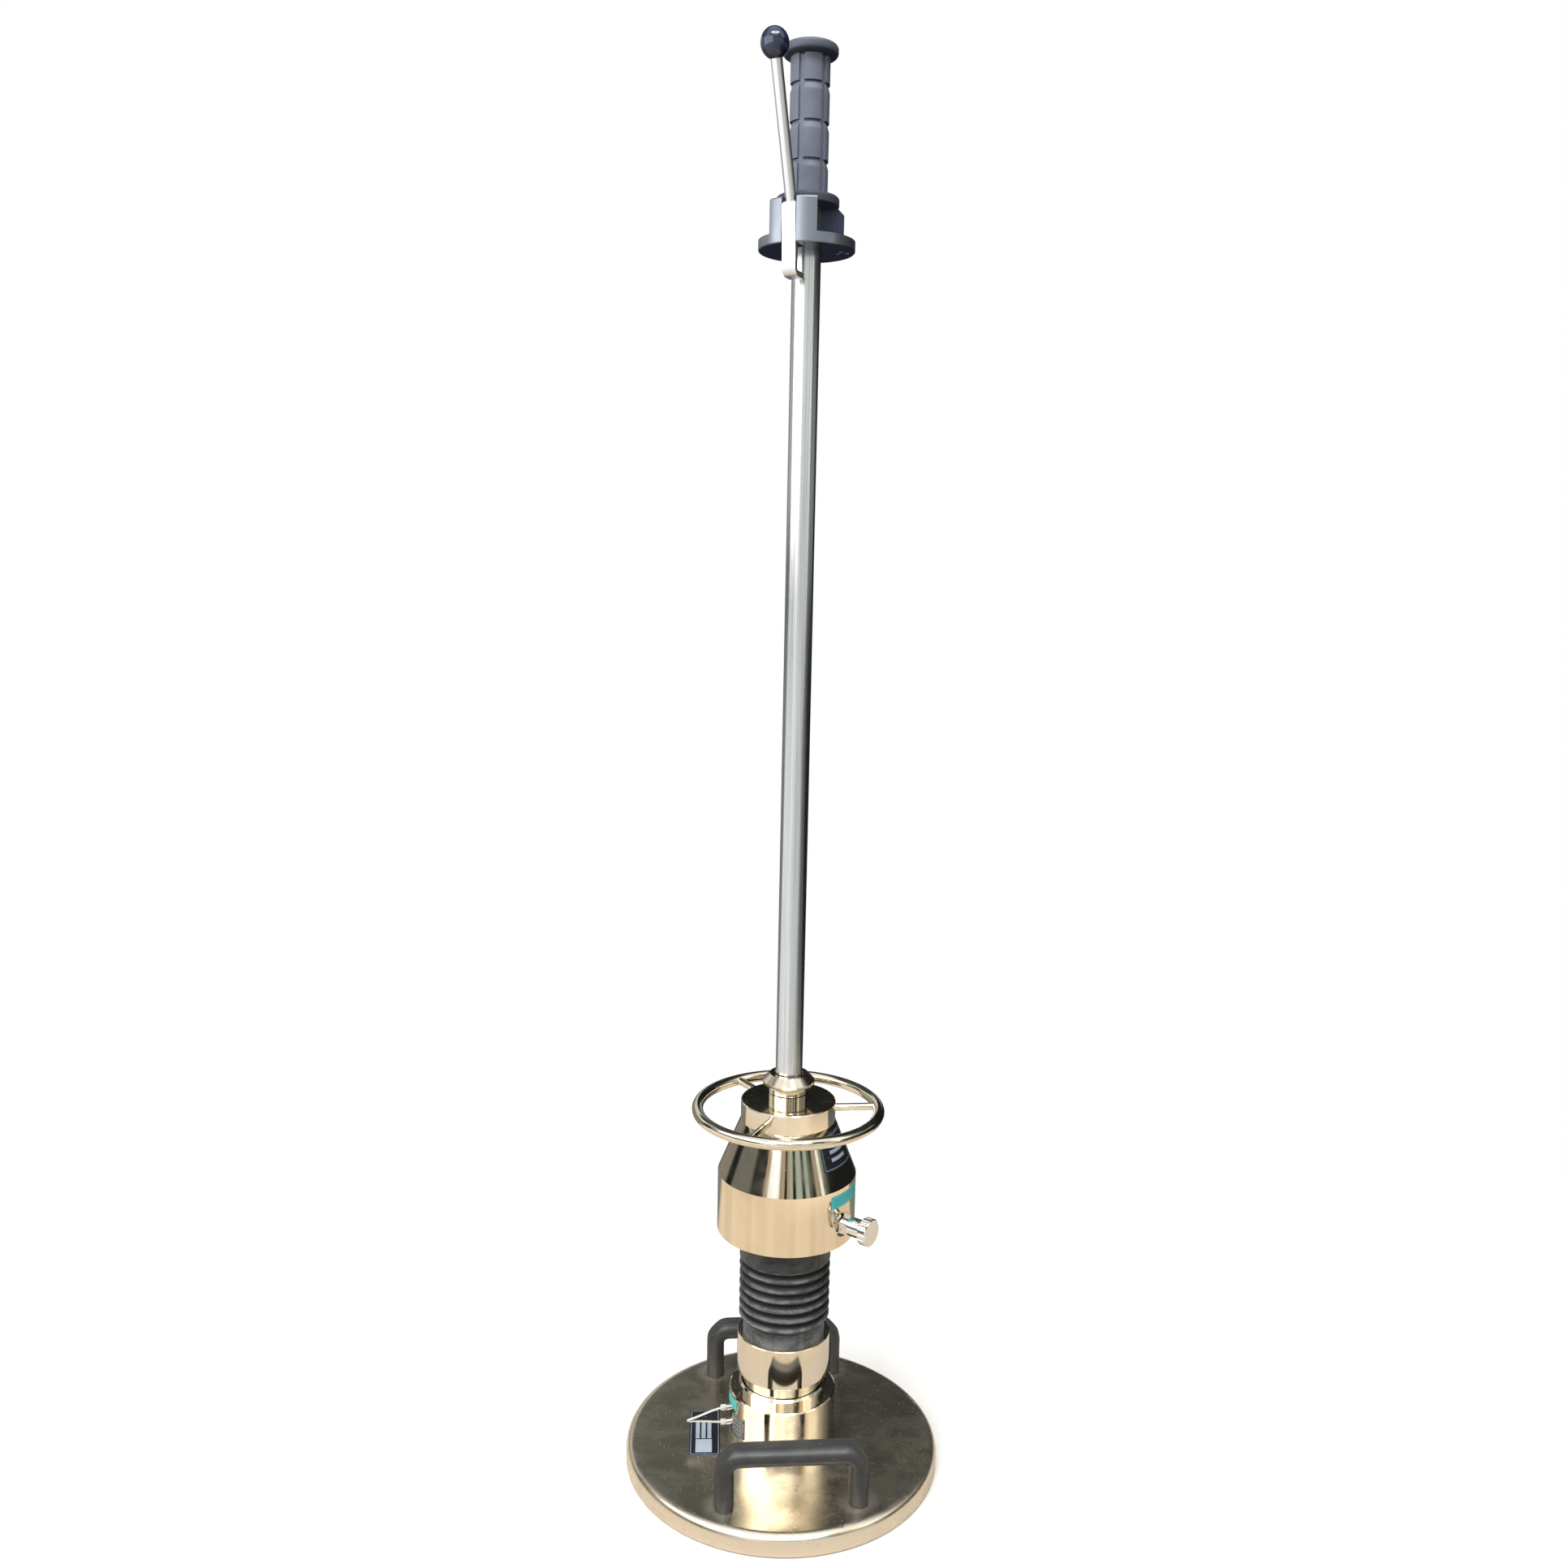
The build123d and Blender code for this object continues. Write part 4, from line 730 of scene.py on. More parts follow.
def label_finish(name, ground, print_tone, laid, extent, fields, metallic=0.0, rough=0.35):
    """Printed label: its ground colour, blank fields, rubbed corners and dust; laid gives its coordinates."""
    bench = Finish(name)
    across, along = laid(bench, *extent)
    printed = 0.0
    for middle_across, middle_along, half_width, half_length in fields:
        field = bench.node("ShaderNodeGroup", {
            "Across": across, "Along": along, "Middle Across": middle_across, "Middle Along": middle_along,
            "Half Width": half_width, "Half Length": half_length}, node_tree=field_effect)
        printed = bench.highest(printed, field.outputs[0])
    rubbed = bench.smudges(90.0)
    hairlines = bench.scratches(70.0, 0.5)
    dust = bench.dust(420.0, 0.4, 0.05, 0.4)
    inked = bench.blend(printed, ground, print_tone)
    off_centre = bench.highest(bench.maths("ABSOLUTE", across), bench.maths("ABSOLUTE", along))
    border = bench.product(bench.spread(off_centre, 0.488, 0.5), bench.mixed(0.08, (rubbed, 0.3)))
    worn = bench.blend(bench.lowest(bench.mixed(border, (hairlines, 0.3)), 1.0), inked, label_paper)
    return bench.done(bench.mixed(bench.noise(bench.place, 300.0, 3.0), (printed, 0.3)), 0.06, 0.0003,
                      Base_Color=bench.blend(dust, worn, dust_tone),
                      Metallic=metallic,
                      Roughness=bench.mixed(rough, (rubbed, 0.16), (dust, 0.3)),
                      Specular_IOR_Level=0.3)


# Finishes of this object's pieces
plate_plating = plated_finish("plate_plating", specks=0.22, film=0.09, smudge=0.10, scratch=0.5, polish=0.20,
                              haze=0.028, feet=True)
housing_plating = plated_finish("housing_plating", specks=0.35, film=0.04)
weight_plating = plated_finish("weight_plating", specks=0.25, film=0.03, smudge=0.10, scratch=0.4)
sleeve_plating = plated_finish("sleeve_plating", specks=0.2, film=0.02, smudge=0.06, joint=sleeve_joint)
ring_plating = plated_finish("ring_plating", specks=0.2, film=0.02, smudge=0.06, polish=0.06)
rod_steel = steel_finish("ground_rod_steel", steel_pale, steel_grey, 0.17, 0.08, 1500.0,
                         relief=0.02, smudge=0.03)
lever_steel = steel_finish("lever_steel", chrome_tone, steel_pale, 0.28, 0.14, 1800.0)
lever_rod_steel = steel_finish("lever_rod_steel", lever_rod_pale, lever_rod_grey, 0.26, 0.14, 330.0,
                               bearing=lever_bearing, tilt=lever_tilt)
knob_chrome = steel_finish("plunger_chrome", chrome_tone, steel_pale, 0.05, 0.05, 600.0)
seat_steel = turned_finish("hardened_seat_steel", steel_grey, seat_shade, 0.16, 3200.0)
spring_steel = turned_finish("phosphated_spring_steel", phosphate_tone, phosphate_shade, 0.38, 2400.0)
screw_zinc = turned_finish("zinc_screw_steel", zinc_tone, zinc_shade, 0.24, 2600.0)
bush_bronze = turned_finish("bush_bronze", bronze_tone, bronze_shade, 0.22, 2600.0)
socket_nickel = turned_finish("socket_nickel", nickel_tone, nickel_shade, 0.16, 3000.0)
handle_coat = coated_finish("handle_coat")
head_anodise = anodised_finish("head_anodise", anodised_light, chips=head_chips)
# worn edges, lightened also as a painted highlight
head_worn_edge = anodised_finish("head_worn_edge", anodised_worn_and_highlight, edge=0.75)
boot_rubber = boot_finish("boot_rubber")
grip_rubber = grip_finish("grip_rubber")
knob_bakelite = gloss_finish("knob_bakelite", bakelite_tone, 0.16, coat=0.4)
insert_plastic = gloss_finish("insert_plastic", insert_black, 0.32)
lead_rubber = gloss_finish("lead_rubber", lead_black, 0.45)
tie_nylon = nylon_finish("tie_nylon")
plate_label_print = label_finish("plate_label_print", ink_and_shade_black, label_paper, across_flat, plate_label,
                                 plate_label_fields + border_fields(0.06, 0.025, 0.008, 0.0035))
cone_label_print = label_finish("cone_label_print", ink_and_shade_black, label_paper, across_wrapped, cone_label,
                                cone_label_fields + border_fields(0.035, 0.05, 0.004, 0.007))
nameplate_print = label_finish("nameplate_print", nameplate_silver, nameplate_ink, across_wrapped, nameplate,
                               border_fields(0.08, 0.08, 0.022, 0.022) + nameplate_fields,
                               metallic=0.8, rough=0.30)
hub_strip_print = label_finish("hub_strip_print", teal_tone, teal_print, across_wrapped, hub_strip,
                               border_fields(0.03, 0.09, 0.004, 0.012))
weight_strip_print = label_finish("weight_strip_print", teal_tone, teal_print, across_wrapped, weight_strip,
                                  border_fields(0.02, 0.09, 0.003, 0.012))

node_finishes = {
    plate_plating: ("load_plate",),
    housing_plating: ("sensor_housing", "spring_base"),
    weight_plating: ("drop_weight",),
    sleeve_plating: ("catch_sleeve",),
    ring_plating: ("carrying_ring", "ring_spokes"),
    rod_steel: ("guide_rod",),
    lever_steel: ("catch_lever",),
    lever_rod_steel: ("lever_rod",),
    knob_chrome: ("plunger_pin", "plunger_knob", "plunger_bush"),
    seat_steel: ("ball_seat", "base_seat", "centring_ball", "anvil", "lock_collar", "lever_pivot",
                 "lever_stops", "accelerometer"),
    spring_steel: ("disc_springs", "return_springs"),
    screw_zinc: ("handle_screws", "housing_screws", "boss_screws", "head_screws", "lock_collar_screw",
                 "seal_screws", "socket_screws"),
    bush_bronze: ("anvil_bush", "lower_bush", "upper_bush"),
    handle_coat: ("front_handle", "rear_handle"),
    head_anodise: ("release_head",),
    boot_rubber: ("boot",),
    grip_rubber: ("grip",),
    knob_bakelite: ("ball_knob",),
    socket_nickel: ("signal_socket",),
    insert_plastic: ("socket_insert",),
    lead_rubber: ("sensor_lead",),
    tie_nylon: ("seal_tie",),
    hub_strip_print: ("hub_strip",),
    weight_strip_print: ("weight_strip",),
    cone_label_print: ("cone_label",),
    plate_label_print: ("plate_label",),
    nameplate_print: ("hub_nameplate",),
}
for finish, names in node_finishes.items():
    for name in names:
        nodes[name].data.materials.clear()
        nodes[name].data.materials.append(finish)


def grown_tree(name, sizes, counts):
    """Empty geometry tree with named sizes, whole-number counts and a material, and one mesh out."""
    inputs = dict.fromkeys(sizes, "Float") | dict.fromkeys(counts, "Int") | {"Finish": "Material"}
    return new_group(name, "GeometryNodeTree", inputs, {"Geometry": "Geometry"})


def square_grid(bench, entry):
    """Grid one metre square to bend into a form, and where its points lie across and along it."""
    grid = bench.node("GeometryNodeMeshGrid", {"Size X": 1.0, "Size Y": 1.0, "Vertices X": entry["Segments"],
                                               "Vertices Y": entry["Rings"]})
    across, along, _ = bench.parts(bench.node("GeometryNodeInputPosition").outputs[0])
    return grid.outputs["Mesh"], across, along


def moved(bench, shape, place):
    """A shape with its points put in their place."""
    return bench.node("GeometryNodeSetPosition", {"Geometry": shape, "Position": place}).outputs[0]


def close_tree(bench, shape, entry, leave):
    """Ends a geometry tree: smooth shading, real instances and the finish."""
    smooth = bench.node("GeometryNodeSetShadeSmooth", {"Geometry": shape})
    real = bench.node("GeometryNodeRealizeInstances", {"Geometry": smooth.outputs[0]})
    dressed = bench.node("GeometryNodeSetMaterial",
                         {"Geometry": real.outputs[0], "Material": entry["Finish"]})
    bench.join(dressed.outputs[0], leave)


def new_object(name, data):
    made = bpy.data.objects.new(name, data)
    bpy.context.scene.collection.objects.link(made)
    return made


def flattened(piece):
    """Turns a piece with modifiers into a plain mesh with none."""
    bpy.context.view_layer.update()
    mesh = bpy.data.meshes.new_from_object(piece.evaluated_get(bpy.context.evaluated_depsgraph_get()))
    piece.modifiers.clear()
    piece.data = mesh
    return piece


def grow(name, tree, **values):
    """Runs a geometry tree on an empty mesh and keeps the plain result."""
    piece = new_object(name, bpy.data.meshes.new(name))
    modifier = piece.modifiers.new("grow", "NODES")
    modifier.node_group = tree
    for item in tree.interface.items_tree:
        if item.in_out == "INPUT":
            modifier[item.identifier] = values[item.name.replace(" ", "_").lower()]
    return flattened(piece)


def boot_tree():
    """Ribbed boot as one tube: a lower cuff, rounded ribs and an upper cuff, a little uneven as rubber is."""
    tree, bench, entry, leave = grown_tree(
        "ribbed_boot", ("Bottom", "Top", "Rib Bottom", "Rib Pitch", "Cuff Radius", "Valley", "Crest",
                        "Fullness", "Cuff Gap", "Unevenness"), ("Rib Count", "Rings", "Segments"))
    grid, across, along = square_grid(bench, entry)
    angle = bench.product(across, 2 * math.pi)
    tall = bench.less(entry["Top"], entry["Bottom"])
    height = bench.total(entry["Bottom"], bench.product(bench.total(along, 0.5), tall))
    rib = bench.ratio(bench.less(height, entry["Rib Bottom"]), entry["Rib Pitch"])
    within = bench.lowest(rib, entry["Rib Count"])
    wave = bench.maths("ABSOLUTE", bench.maths("SINE", bench.product(within, math.pi)))
    swell = bench.maths("POWER", wave, entry["Fullness"])
    ribbed = bench.total(entry["Valley"], bench.product(bench.less(entry["Crest"], entry["Valley"]), swell))
    below = bench.maths("LESS_THAN", rib, 0.0)
    above = bench.maths("GREATER_THAN", rib, bench.total(entry["Rib Count"], entry["Cuff Gap"]))
    between = bench.less(bench.rest(below), above)
    round_x = bench.maths("COSINE", angle)
    round_y = bench.maths("SINE", angle)
    dents = bench.noise(bench.vector(round_x, round_y, bench.product(height, 22.0)), 2.2, 3.0)
    radius = bench.mixed(bench.product(below, entry["Cuff Radius"]), (between, ribbed),
                         (above, entry["Crest"]), (bench.less(dents, 0.5), entry["Unevenness"]))
    spot = bench.vector(bench.product(radius, round_x), bench.product(radius, round_y), height)
    tube = moved(bench, grid, spot)
    resting = bench.node("GeometryNodeInputPosition").outputs[0]
    marked = bench.node("GeometryNodeStoreNamedAttribute",
                        {"Geometry": tube, "Name": boot_rest_place, "Value": resting},
                        data_type="FLOAT_VECTOR", domain="POINT")
    closed = bench.node("GeometryNodeMergeByDistance", {"Geometry": marked.outputs[0], "Distance": seam_weld})
    close_tree(bench, closed.outputs[0], entry, leave)
    return tree


def grip_pad_tree():
    """Raised pads of the grip: a square lower edge, a ramp at the top, in rows and columns round the core."""
    tree, bench, entry, leave = grown_tree(
        "grip_pads", ("First Row", "Row Pitch", "First Column", "Core Radius", "Pad Height", "Band", "Ramp",
                      "Lip"), ("Rows", "Columns", "Rings", "Segments"))
    grid, across, along = square_grid(bench, entry)
    column = bench.ratio(2 * math.pi, entry["Columns"])
    width = bench.less(column, bench.ratio(entry["Band"], entry["Core Radius"]))
    angle = bench.product(across, width)
    height = bench.product(bench.maths("POWER", bench.total(along, 0.5), pad_crowding), entry["Row Pitch"])
    half_width = bench.product(width, 0.5, entry["Core Radius"])
    reach = bench.product(bench.maths("ABSOLUTE", angle), entry["Core Radius"])
    to_side = bench.ratio(bench.less(half_width, reach), entry["Lip"])
    to_foot = bench.ratio(height, entry["Lip"])
    to_top = bench.ratio(bench.less(entry["Row Pitch"], height), entry["Ramp"])
    rise = bench.product(bench.lowest(to_side, to_foot, to_top, 1.0), entry["Pad Height"])
    radius = bench.total(entry["Core Radius"], rise, -pad_sunk * MM)
    pad = moved(bench, grid, bench.vector(bench.product(radius, bench.maths("COSINE", angle)),
                                          bench.product(radius, bench.maths("SINE", angle)), height))
    order = bench.node("GeometryNodeInputIndex").outputs[0]
    row = bench.maths("FLOOR", bench.ratio(bench.total(order, 0.5), entry["Columns"]))
    lift = bench.total(entry["First Row"], bench.product(row, entry["Row Pitch"]))
    count = bench.product(entry["Rows"], entry["Columns"])
    line = bench.node("GeometryNodeMeshLine", {"Count": count, "Offset": (0, 0, 0)})
    turn = bench.vector(0, 0, bench.total(entry["First Column"], bench.product(order, column)))
    pads = bench.node("GeometryNodeInstanceOnPoints", {
        "Points": moved(bench, line.outputs[0], bench.vector(0, 0, lift)), "Instance": pad, "Rotation": turn})
    close_tree(bench, pads.outputs[0], entry, leave)
    return tree


def rounded(corners, steps=6):
    """Outline through (radius, height, rounding) corners, each rounded by its own amount."""
    outline = []
    for i, (radius, height, rounding) in enumerate(corners):
        here = Vector((radius, height))
        before = Vector(corners[i - 1][:2]) - here
        after = Vector(corners[(i + 1) % len(corners)][:2]) - here
        if rounding == 0:
            outline.append(here)
            continue
        start = here + before.normalized() * rounding
        end = here + after.normalized() * rounding
        for step in range(steps + 1):
            t = step / steps
            outline.append(start * (1 - t) ** 2 + here * (2 * t * (1 - t)) + end * t ** 2)
    return outline


def weld_outwards(shape):
    """Closes the seams and poles of a shape, and turns its faces outwards."""
    bmesh.ops.remove_doubles(shape, verts=shape.verts, dist=seam_weld)
    bmesh.ops.recalc_face_normals(shape, faces=shape.faces)


def dressed_piece(name, shape, mesh, finishes, crease):
    """Piece of a worked shape with its finishes, smooth, and sharp past an angle."""
    shape.to_mesh(mesh)
    shape.free()
    if "custom_normal" in mesh.attributes:
        mesh.attributes.remove(mesh.attributes["custom_normal"])
    mesh.materials.clear()
    for finish in finishes:
        mesh.materials.append(finish)
    mesh.shade_smooth()
    mesh.set_sharp_from_angle(angle=math.radians(crease))
    return new_object(name, mesh)


def lathe(name, outline, finish):
    """Closed turned piece about the rod's axis from an outline in millimetres."""
    shape = bmesh.new()
    ring = [shape.verts.new((point.x * MM, 0, point.y * MM)) for point in outline]
    edges = [shape.edges.new((ring[i], ring[(i + 1) % len(ring)])) for i in range(len(ring))]
    bmesh.ops.spin(shape, geom=ring + edges, axis=(0, 0, 1), cent=(0, 0, 0), dvec=(0, 0, 0),
                   angle=2 * math.pi, steps=lathe_segments, use_duplicate=False)
    weld_outwards(shape)
    return dressed_piece(name, shape, bpy.data.meshes.new(name), (finish,), lathe_crease)


def merged_copy(name, node, finishes, crease):
    """Copy of a solid with its triangles merged into whole faces."""
    mesh = nodes[node].data.copy()
    shape = bmesh.new()
    shape.from_mesh(mesh)
    bmesh.ops.remove_doubles(shape, verts=shape.verts, dist=solid_weld)
    bmesh.ops.dissolve_limit(shape, angle_limit=math.radians(flat_within), verts=shape.verts,
                             edges=shape.edges)
    return dressed_piece(name, shape, mesh, finishes, crease)


def eased_copy(name, node, width, limit, *finishes):
    """Merged copy of a solid with its hard edges eased in the last finish, so that they catch the light."""
    piece = merged_copy(name, node, finishes, limit)
    bevel = piece.modifiers.new("ease", "BEVEL")
    bevel.width = width * MM
    bevel.segments = 3
    bevel.limit_method = "ANGLE"
    bevel.angle_limit = math.radians(limit)
    bevel.material = len(finishes) - 1
    bevel.harden_normals = True
    bevel.use_clamp_overlap = True
    return flattened(piece)


# Boot: one ribbed tube that shortens between the spring base and the anvil
boot_low, boot_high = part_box("boot")
boot = grow("boot_bellows", boot_tree(), bottom=boot_low.z, top=boot_high.z, rib_bottom=rib_bottom * MM,
            rib_pitch=rib_pitch * MM, cuff_radius=cuff_radius * MM, valley=rib_valley * MM,
            crest=rib_crest * MM, fullness=rib_fullness, cuff_gap=rib_cuff_gap, unevenness=boot_dents * MM,
            rib_count=rib_count, rings=boot_rings, segments=boot_segments, finish=boot_rubber)
wall = boot.modifiers.new("wall", "SOLIDIFY")
wall.thickness = boot_wall * MM
wall.offset = -1
flattened(boot)
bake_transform(boot)
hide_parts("boot")

# Disc springs: the stack inside the boot, which shortens with it
springs = merged_copy("disc_spring_stack", "disc_springs", (spring_steel,), spring_crease)
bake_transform(springs)
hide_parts("disc_springs")

# Grip: a turned core with foot and cap, and rows of raised pads
grip_low, grip_high = (corner.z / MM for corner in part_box("grip"))
core = lathe("grip_core", rounded([
    (grip_bore, grip_low, 0), (grip_foot_radius, grip_low, 1.0),
    (grip_foot_radius, grip_foot_top, grip_foot_corner), (grip_core_radius, grip_foot_top, 1.2),
    (grip_core_radius, grip_cap_underside - grip_neck_drop, 2.0),
    (grip_cap_radius, grip_cap_underside, 3.2), (grip_cap_radius, grip_high - grip_cap_crown, 3.0),
    (grip_cap_radius * grip_crown_share, grip_high, 6.0), (0, grip_high, 0), (0, rod_top, 0),
    (grip_bore, rod_top, 0)]), grip_rubber)
first_column = math.radians(grip_column_angle + 180 / grip_column_count)
pads = grow("grip_pads", grip_pad_tree(), first_row=(grip_second_row - grip_row_pitch) * MM,
            row_pitch=grip_row_pitch * MM, first_column=first_column,
            core_radius=grip_core_radius * MM, pad_height=pad_height * MM, band=grip_band * MM,
            ramp=grip_ramp * MM, lip=grip_lip * MM, rows=grip_row_count, columns=grip_column_count,
            rings=pad_rings, segments=pad_segments, finish=grip_rubber)
pads.data.set_sharp_from_angle(angle=math.radians(pad_crease))
for piece in (core, pads):
    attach(piece, "device")
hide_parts("grip")

# Release head with worn edges, lightened also as a painted highlight, and lever and handles with their hard
# edges eased
for eased, node, body, slot in (
        (eased_copy("head_body", "release_head", head_edge, head_crease, head_anodise, head_worn_edge),
         "release_head", "device", "dark_aluminium"),
        (eased_copy("lever_body", "catch_lever", lever_edge, lever_crease, lever_steel),
         "catch_lever", "lever", "hard_steel"),
        (eased_copy("front_handle_bow", "front_handle", handle_edge, handle_crease, handle_coat),
         "front_handle", "plate", "handle_coat"),
        (eased_copy("rear_handle_bow", "rear_handle", handle_edge, handle_crease, handle_coat),
         "rear_handle", "plate", "handle_coat")):
    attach(eased, body)
    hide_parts(node)


def seal_strap():
    """Nylon tie through the two seal screws: a folded strap with a rounded head at each end."""
    path = bpy.data.curves.new("seal_strap", "CURVE")
    path.dimensions = "3D"
    path.twist_mode = "Z_UP"
    path.use_fill_caps = True
    path.resolution_u = 8
    path.bevel_resolution = 2
    path.extrude = (strap_width - strap_thickness) / 2 * MM
    path.bevel_depth = strap_thickness / 2 * MM
    line = path.splines.new("NURBS")
    line.points.add(len(strap_run) - 1)
    for point, (radius, height) in zip(line.points, strap_run):
        point.co = (radius * MM, height * MM, 0, 1)
    line.order_u = 4
    line.use_endpoint_u = True
    drawn = new_object("seal_strap", path)
    mesh = bpy.data.meshes.new_from_object(drawn)
    bpy.data.objects.remove(drawn)
    shape = bmesh.new()
    shape.from_mesh(mesh)
    size = Matrix.Diagonal((*(side * MM for side in strap_head_size), 1))
    for radius, height in (strap_run[0], strap_run[-1]):
        place = Matrix.Translation((radius * MM, height * MM, 0))
        head = bmesh.ops.create_cube(shape, size=1.0, matrix=place @ size)
        edges = list(dict.fromkeys(edge for vert in head["verts"] for edge in vert.link_edges))
        bmesh.ops.bevel(shape, geom=edges, offset=strap_head_corner * MM, segments=3, affect="EDGES",
                        profile=0.5)
    weld_outwards(shape)
    outward = Vector((math.cos(math.radians(seal_angle)), math.sin(math.radians(seal_angle)), 0))
    upward = Vector((0, 0, 1))
    shape.transform(Matrix((outward, upward, outward.cross(upward))).transposed().to_4x4())
    return dressed_piece("seal_strap", shape, mesh, (tie_nylon,), strap_crease)


strap = seal_strap()
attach(strap, "plate")
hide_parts("seal_tie")

# Stage, in metres: the floor, and the tones that it and the room lend to polished faces
floor_size = 24
floor_height = -0.0003
floor_pale = (0.93, 0.925, 0.915)
floor_shade = (0.12, 0.12, 0.12)
floor_mirrored = (0.605, 0.507, 0.393)
floor_lighter = (0.692, 0.588, 0.470)
floor_by_plate = (0.60, 0.54, 0.49)
floor_further_left = (0.61, 0.515, 0.40)
floor_further_right = (0.98, 0.83, 0.66)
floor_behind = (0.17, 0.175, 0.165)
floor_back_left = (0.27, 0.255, 0.23)
floor_back = (0.040, 0.045, 0.085)
floor_left = (1.00, 1.02, 1.04)
floor_front = (0.68, 0.70, 0.69)
floor_right = (0.12, 0.125, 0.125)
room_dark = (0.012, 0.013, 0.013)
room_dusk = (0.058, 0.067, 0.066)
room_left = (0.19, 0.20, 0.19)
room_back_left = (0.70, 0.70, 0.67)
room_back = (0.42, 0.44, 0.45)
room_front = (0.96, 0.99, 0.99)
room_overhead = (1.05, 1.07, 1.08)
sky_tan = (0.90, 0.72, 0.52)
sky_white = (1.50, 1.48, 1.36)
sky_grey = (0.66, 0.72, 0.68)
sky_dark = (0.07, 0.075, 0.07)
window_glare = (14.5, 14.5, 14.8)
white_blind = (1.15, 1.22, 1.25)
tan_blind = (0.50, 0.40, 0.30)
green_blind = (0.46, 0.56, 0.52)
olive_blind = (0.11, 0.14, 0.09)

# Floor distances from the axis, and a line across it, each given where a tone begins and where it is full
plate_rim = (0.19, 0.30)
further_floor = (0.60, 0.74)
floor_end = (0.72, 1.15)
floor_behind_line = (0.35, 0.45)

# Upright bands of the room: bearing of the middle from straight ahead and half width, in degrees, and tone;
# a band is full over its core, and the back wall comes in by how far a bearing is turned away
blind_bands = ((-39, 3, tan_blind), (-25, 12, white_blind), (-10, 4, tan_blind), (0, 3, tan_blind),
               (5, 3, green_blind), (18, 6, green_blind), (32, 4, green_blind), (38, 3, olive_blind),
               (50, 4, tan_blind), (56, 4, olive_blind), (66, 6, olive_blind))
sky_bands = ((-54, 16, sky_white), (-35, 6, sky_dark), (-5, 8, sky_white), (14, 14, sky_grey),
             (36, 9, sky_dark), (70, 12, sky_white), (110, 30, sky_grey))
left_wall = (-84, 22)
front_wide = (14, 54)
front_narrow = (8, 44)
back_left_wall = (-143, 28)
silver_wall = (-148, 34)
window_wall = (0, 32)
back_turn = (148, 168)
band_core = 0.7

# Heights in the room, as the upward part of a direction, each given where a tone begins and where it is full
horizon = (-0.02, 0.01)
front_rise = (0.0, 0.14)
front_wide_top = (0.19, 0.21)
back_top = (0.21, 0.235)
silver_bottom = (0.225, 0.25)
blinds_bottom = (0.235, 0.26)
silver_top = (0.44, 0.50)
dusk_bottom = (0.40, 0.60)
sky_bottom = (0.40, 0.47)
window_bottom = (0.67, 0.71)
window_top = (0.82, 0.86)
overhead_bottom = (0.70, 0.84)


def floor_finish():
    """Pale floor, white to the camera further out; polished faces see the tones of open ground on it."""
    bench = Finish("pale_floor")
    rays = bench.node("ShaderNodeLightPath").outputs
    x, y, _ = bench.parts(bench.place)
    away = bench.node("ShaderNodeVectorMath", {0: bench.place}, operation="LENGTH").outputs["Value"]
    sideways = bench.ratio(x, away)
    behind = bench.spread(bench.mixed(y, (x, 0.15)), *floor_behind_line)
    bounced = bench.blend(rays["Is Diffuse Ray"], floor_pale, floor_shade)
    uneven = bench.noise(bench.vector(sideways, bench.ratio(y, away), 0.0), 2.6, 3.0)
    mirrored = bench.blend(bench.spread(uneven, 0.36, 0.64), floor_mirrored, floor_lighter)
    mirrored = bench.blend(bench.spread(away, *plate_rim), floor_by_plate, mirrored)
    further = bench.blend(bench.spread(sideways, -0.8, 0.8), floor_further_left, floor_further_right)
    mirrored = bench.blend(bench.spread(away, *further_floor), mirrored, further)
    mirrored = bench.blend(behind, mirrored, floor_behind)
    bench.join(bench.blend(rays["Is Glossy Ray"], bounced, mirrored), bench.surface["Base Color"])
    bench.surface["Roughness"].default_value = 0.8
    bench.surface["Specular IOR Level"].default_value = 0.1
    far_tone = bench.blend(bench.spread(sideways, -0.30, 0.05), floor_left, floor_front)
    far_tone = bench.blend(bench.spread(sideways, 0.60, 0.90), far_tone, floor_right)
    back_tone = bench.blend(bench.spread(sideways, -0.50, -0.20), floor_back_left, floor_back)
    back_tone = bench.blend(bench.spread(sideways, 0.25, 0.55), back_tone, room_dark)
    far_tone = bench.blend(behind, far_tone, back_tone)
    far_tone = bench.blend(rays["Is Glossy Ray"], floor_shade, far_tone)
    far_tone = bench.blend(rays["Is Camera Ray"], far_tone, white)
    near = bench.tree.nodes["Principled BSDF"].outputs[0]
    beyond = bench.node("ShaderNodeEmission", {"Color": far_tone}).outputs[0]
    ground = bench.node("ShaderNodeMixShader", {0: bench.spread(away, *floor_end), 1: near, 2: beyond})
    bench.join(ground.outputs[0], bench.tree.nodes["Material Output"].inputs["Surface"])
    return bench.material


floor_mesh = bpy.data.meshes.new("floor")
floor_corners = [(x * floor_size, y * floor_size, floor_height)
                 for x, y in ((-1, -1), (1, -1), (1, 1), (-1, 1))]
floor_mesh.from_pydata(floor_corners, [], [(0, 1, 2, 3)])
floor_mesh.materials.append(floor_finish())
new_object("floor", floor_mesh)


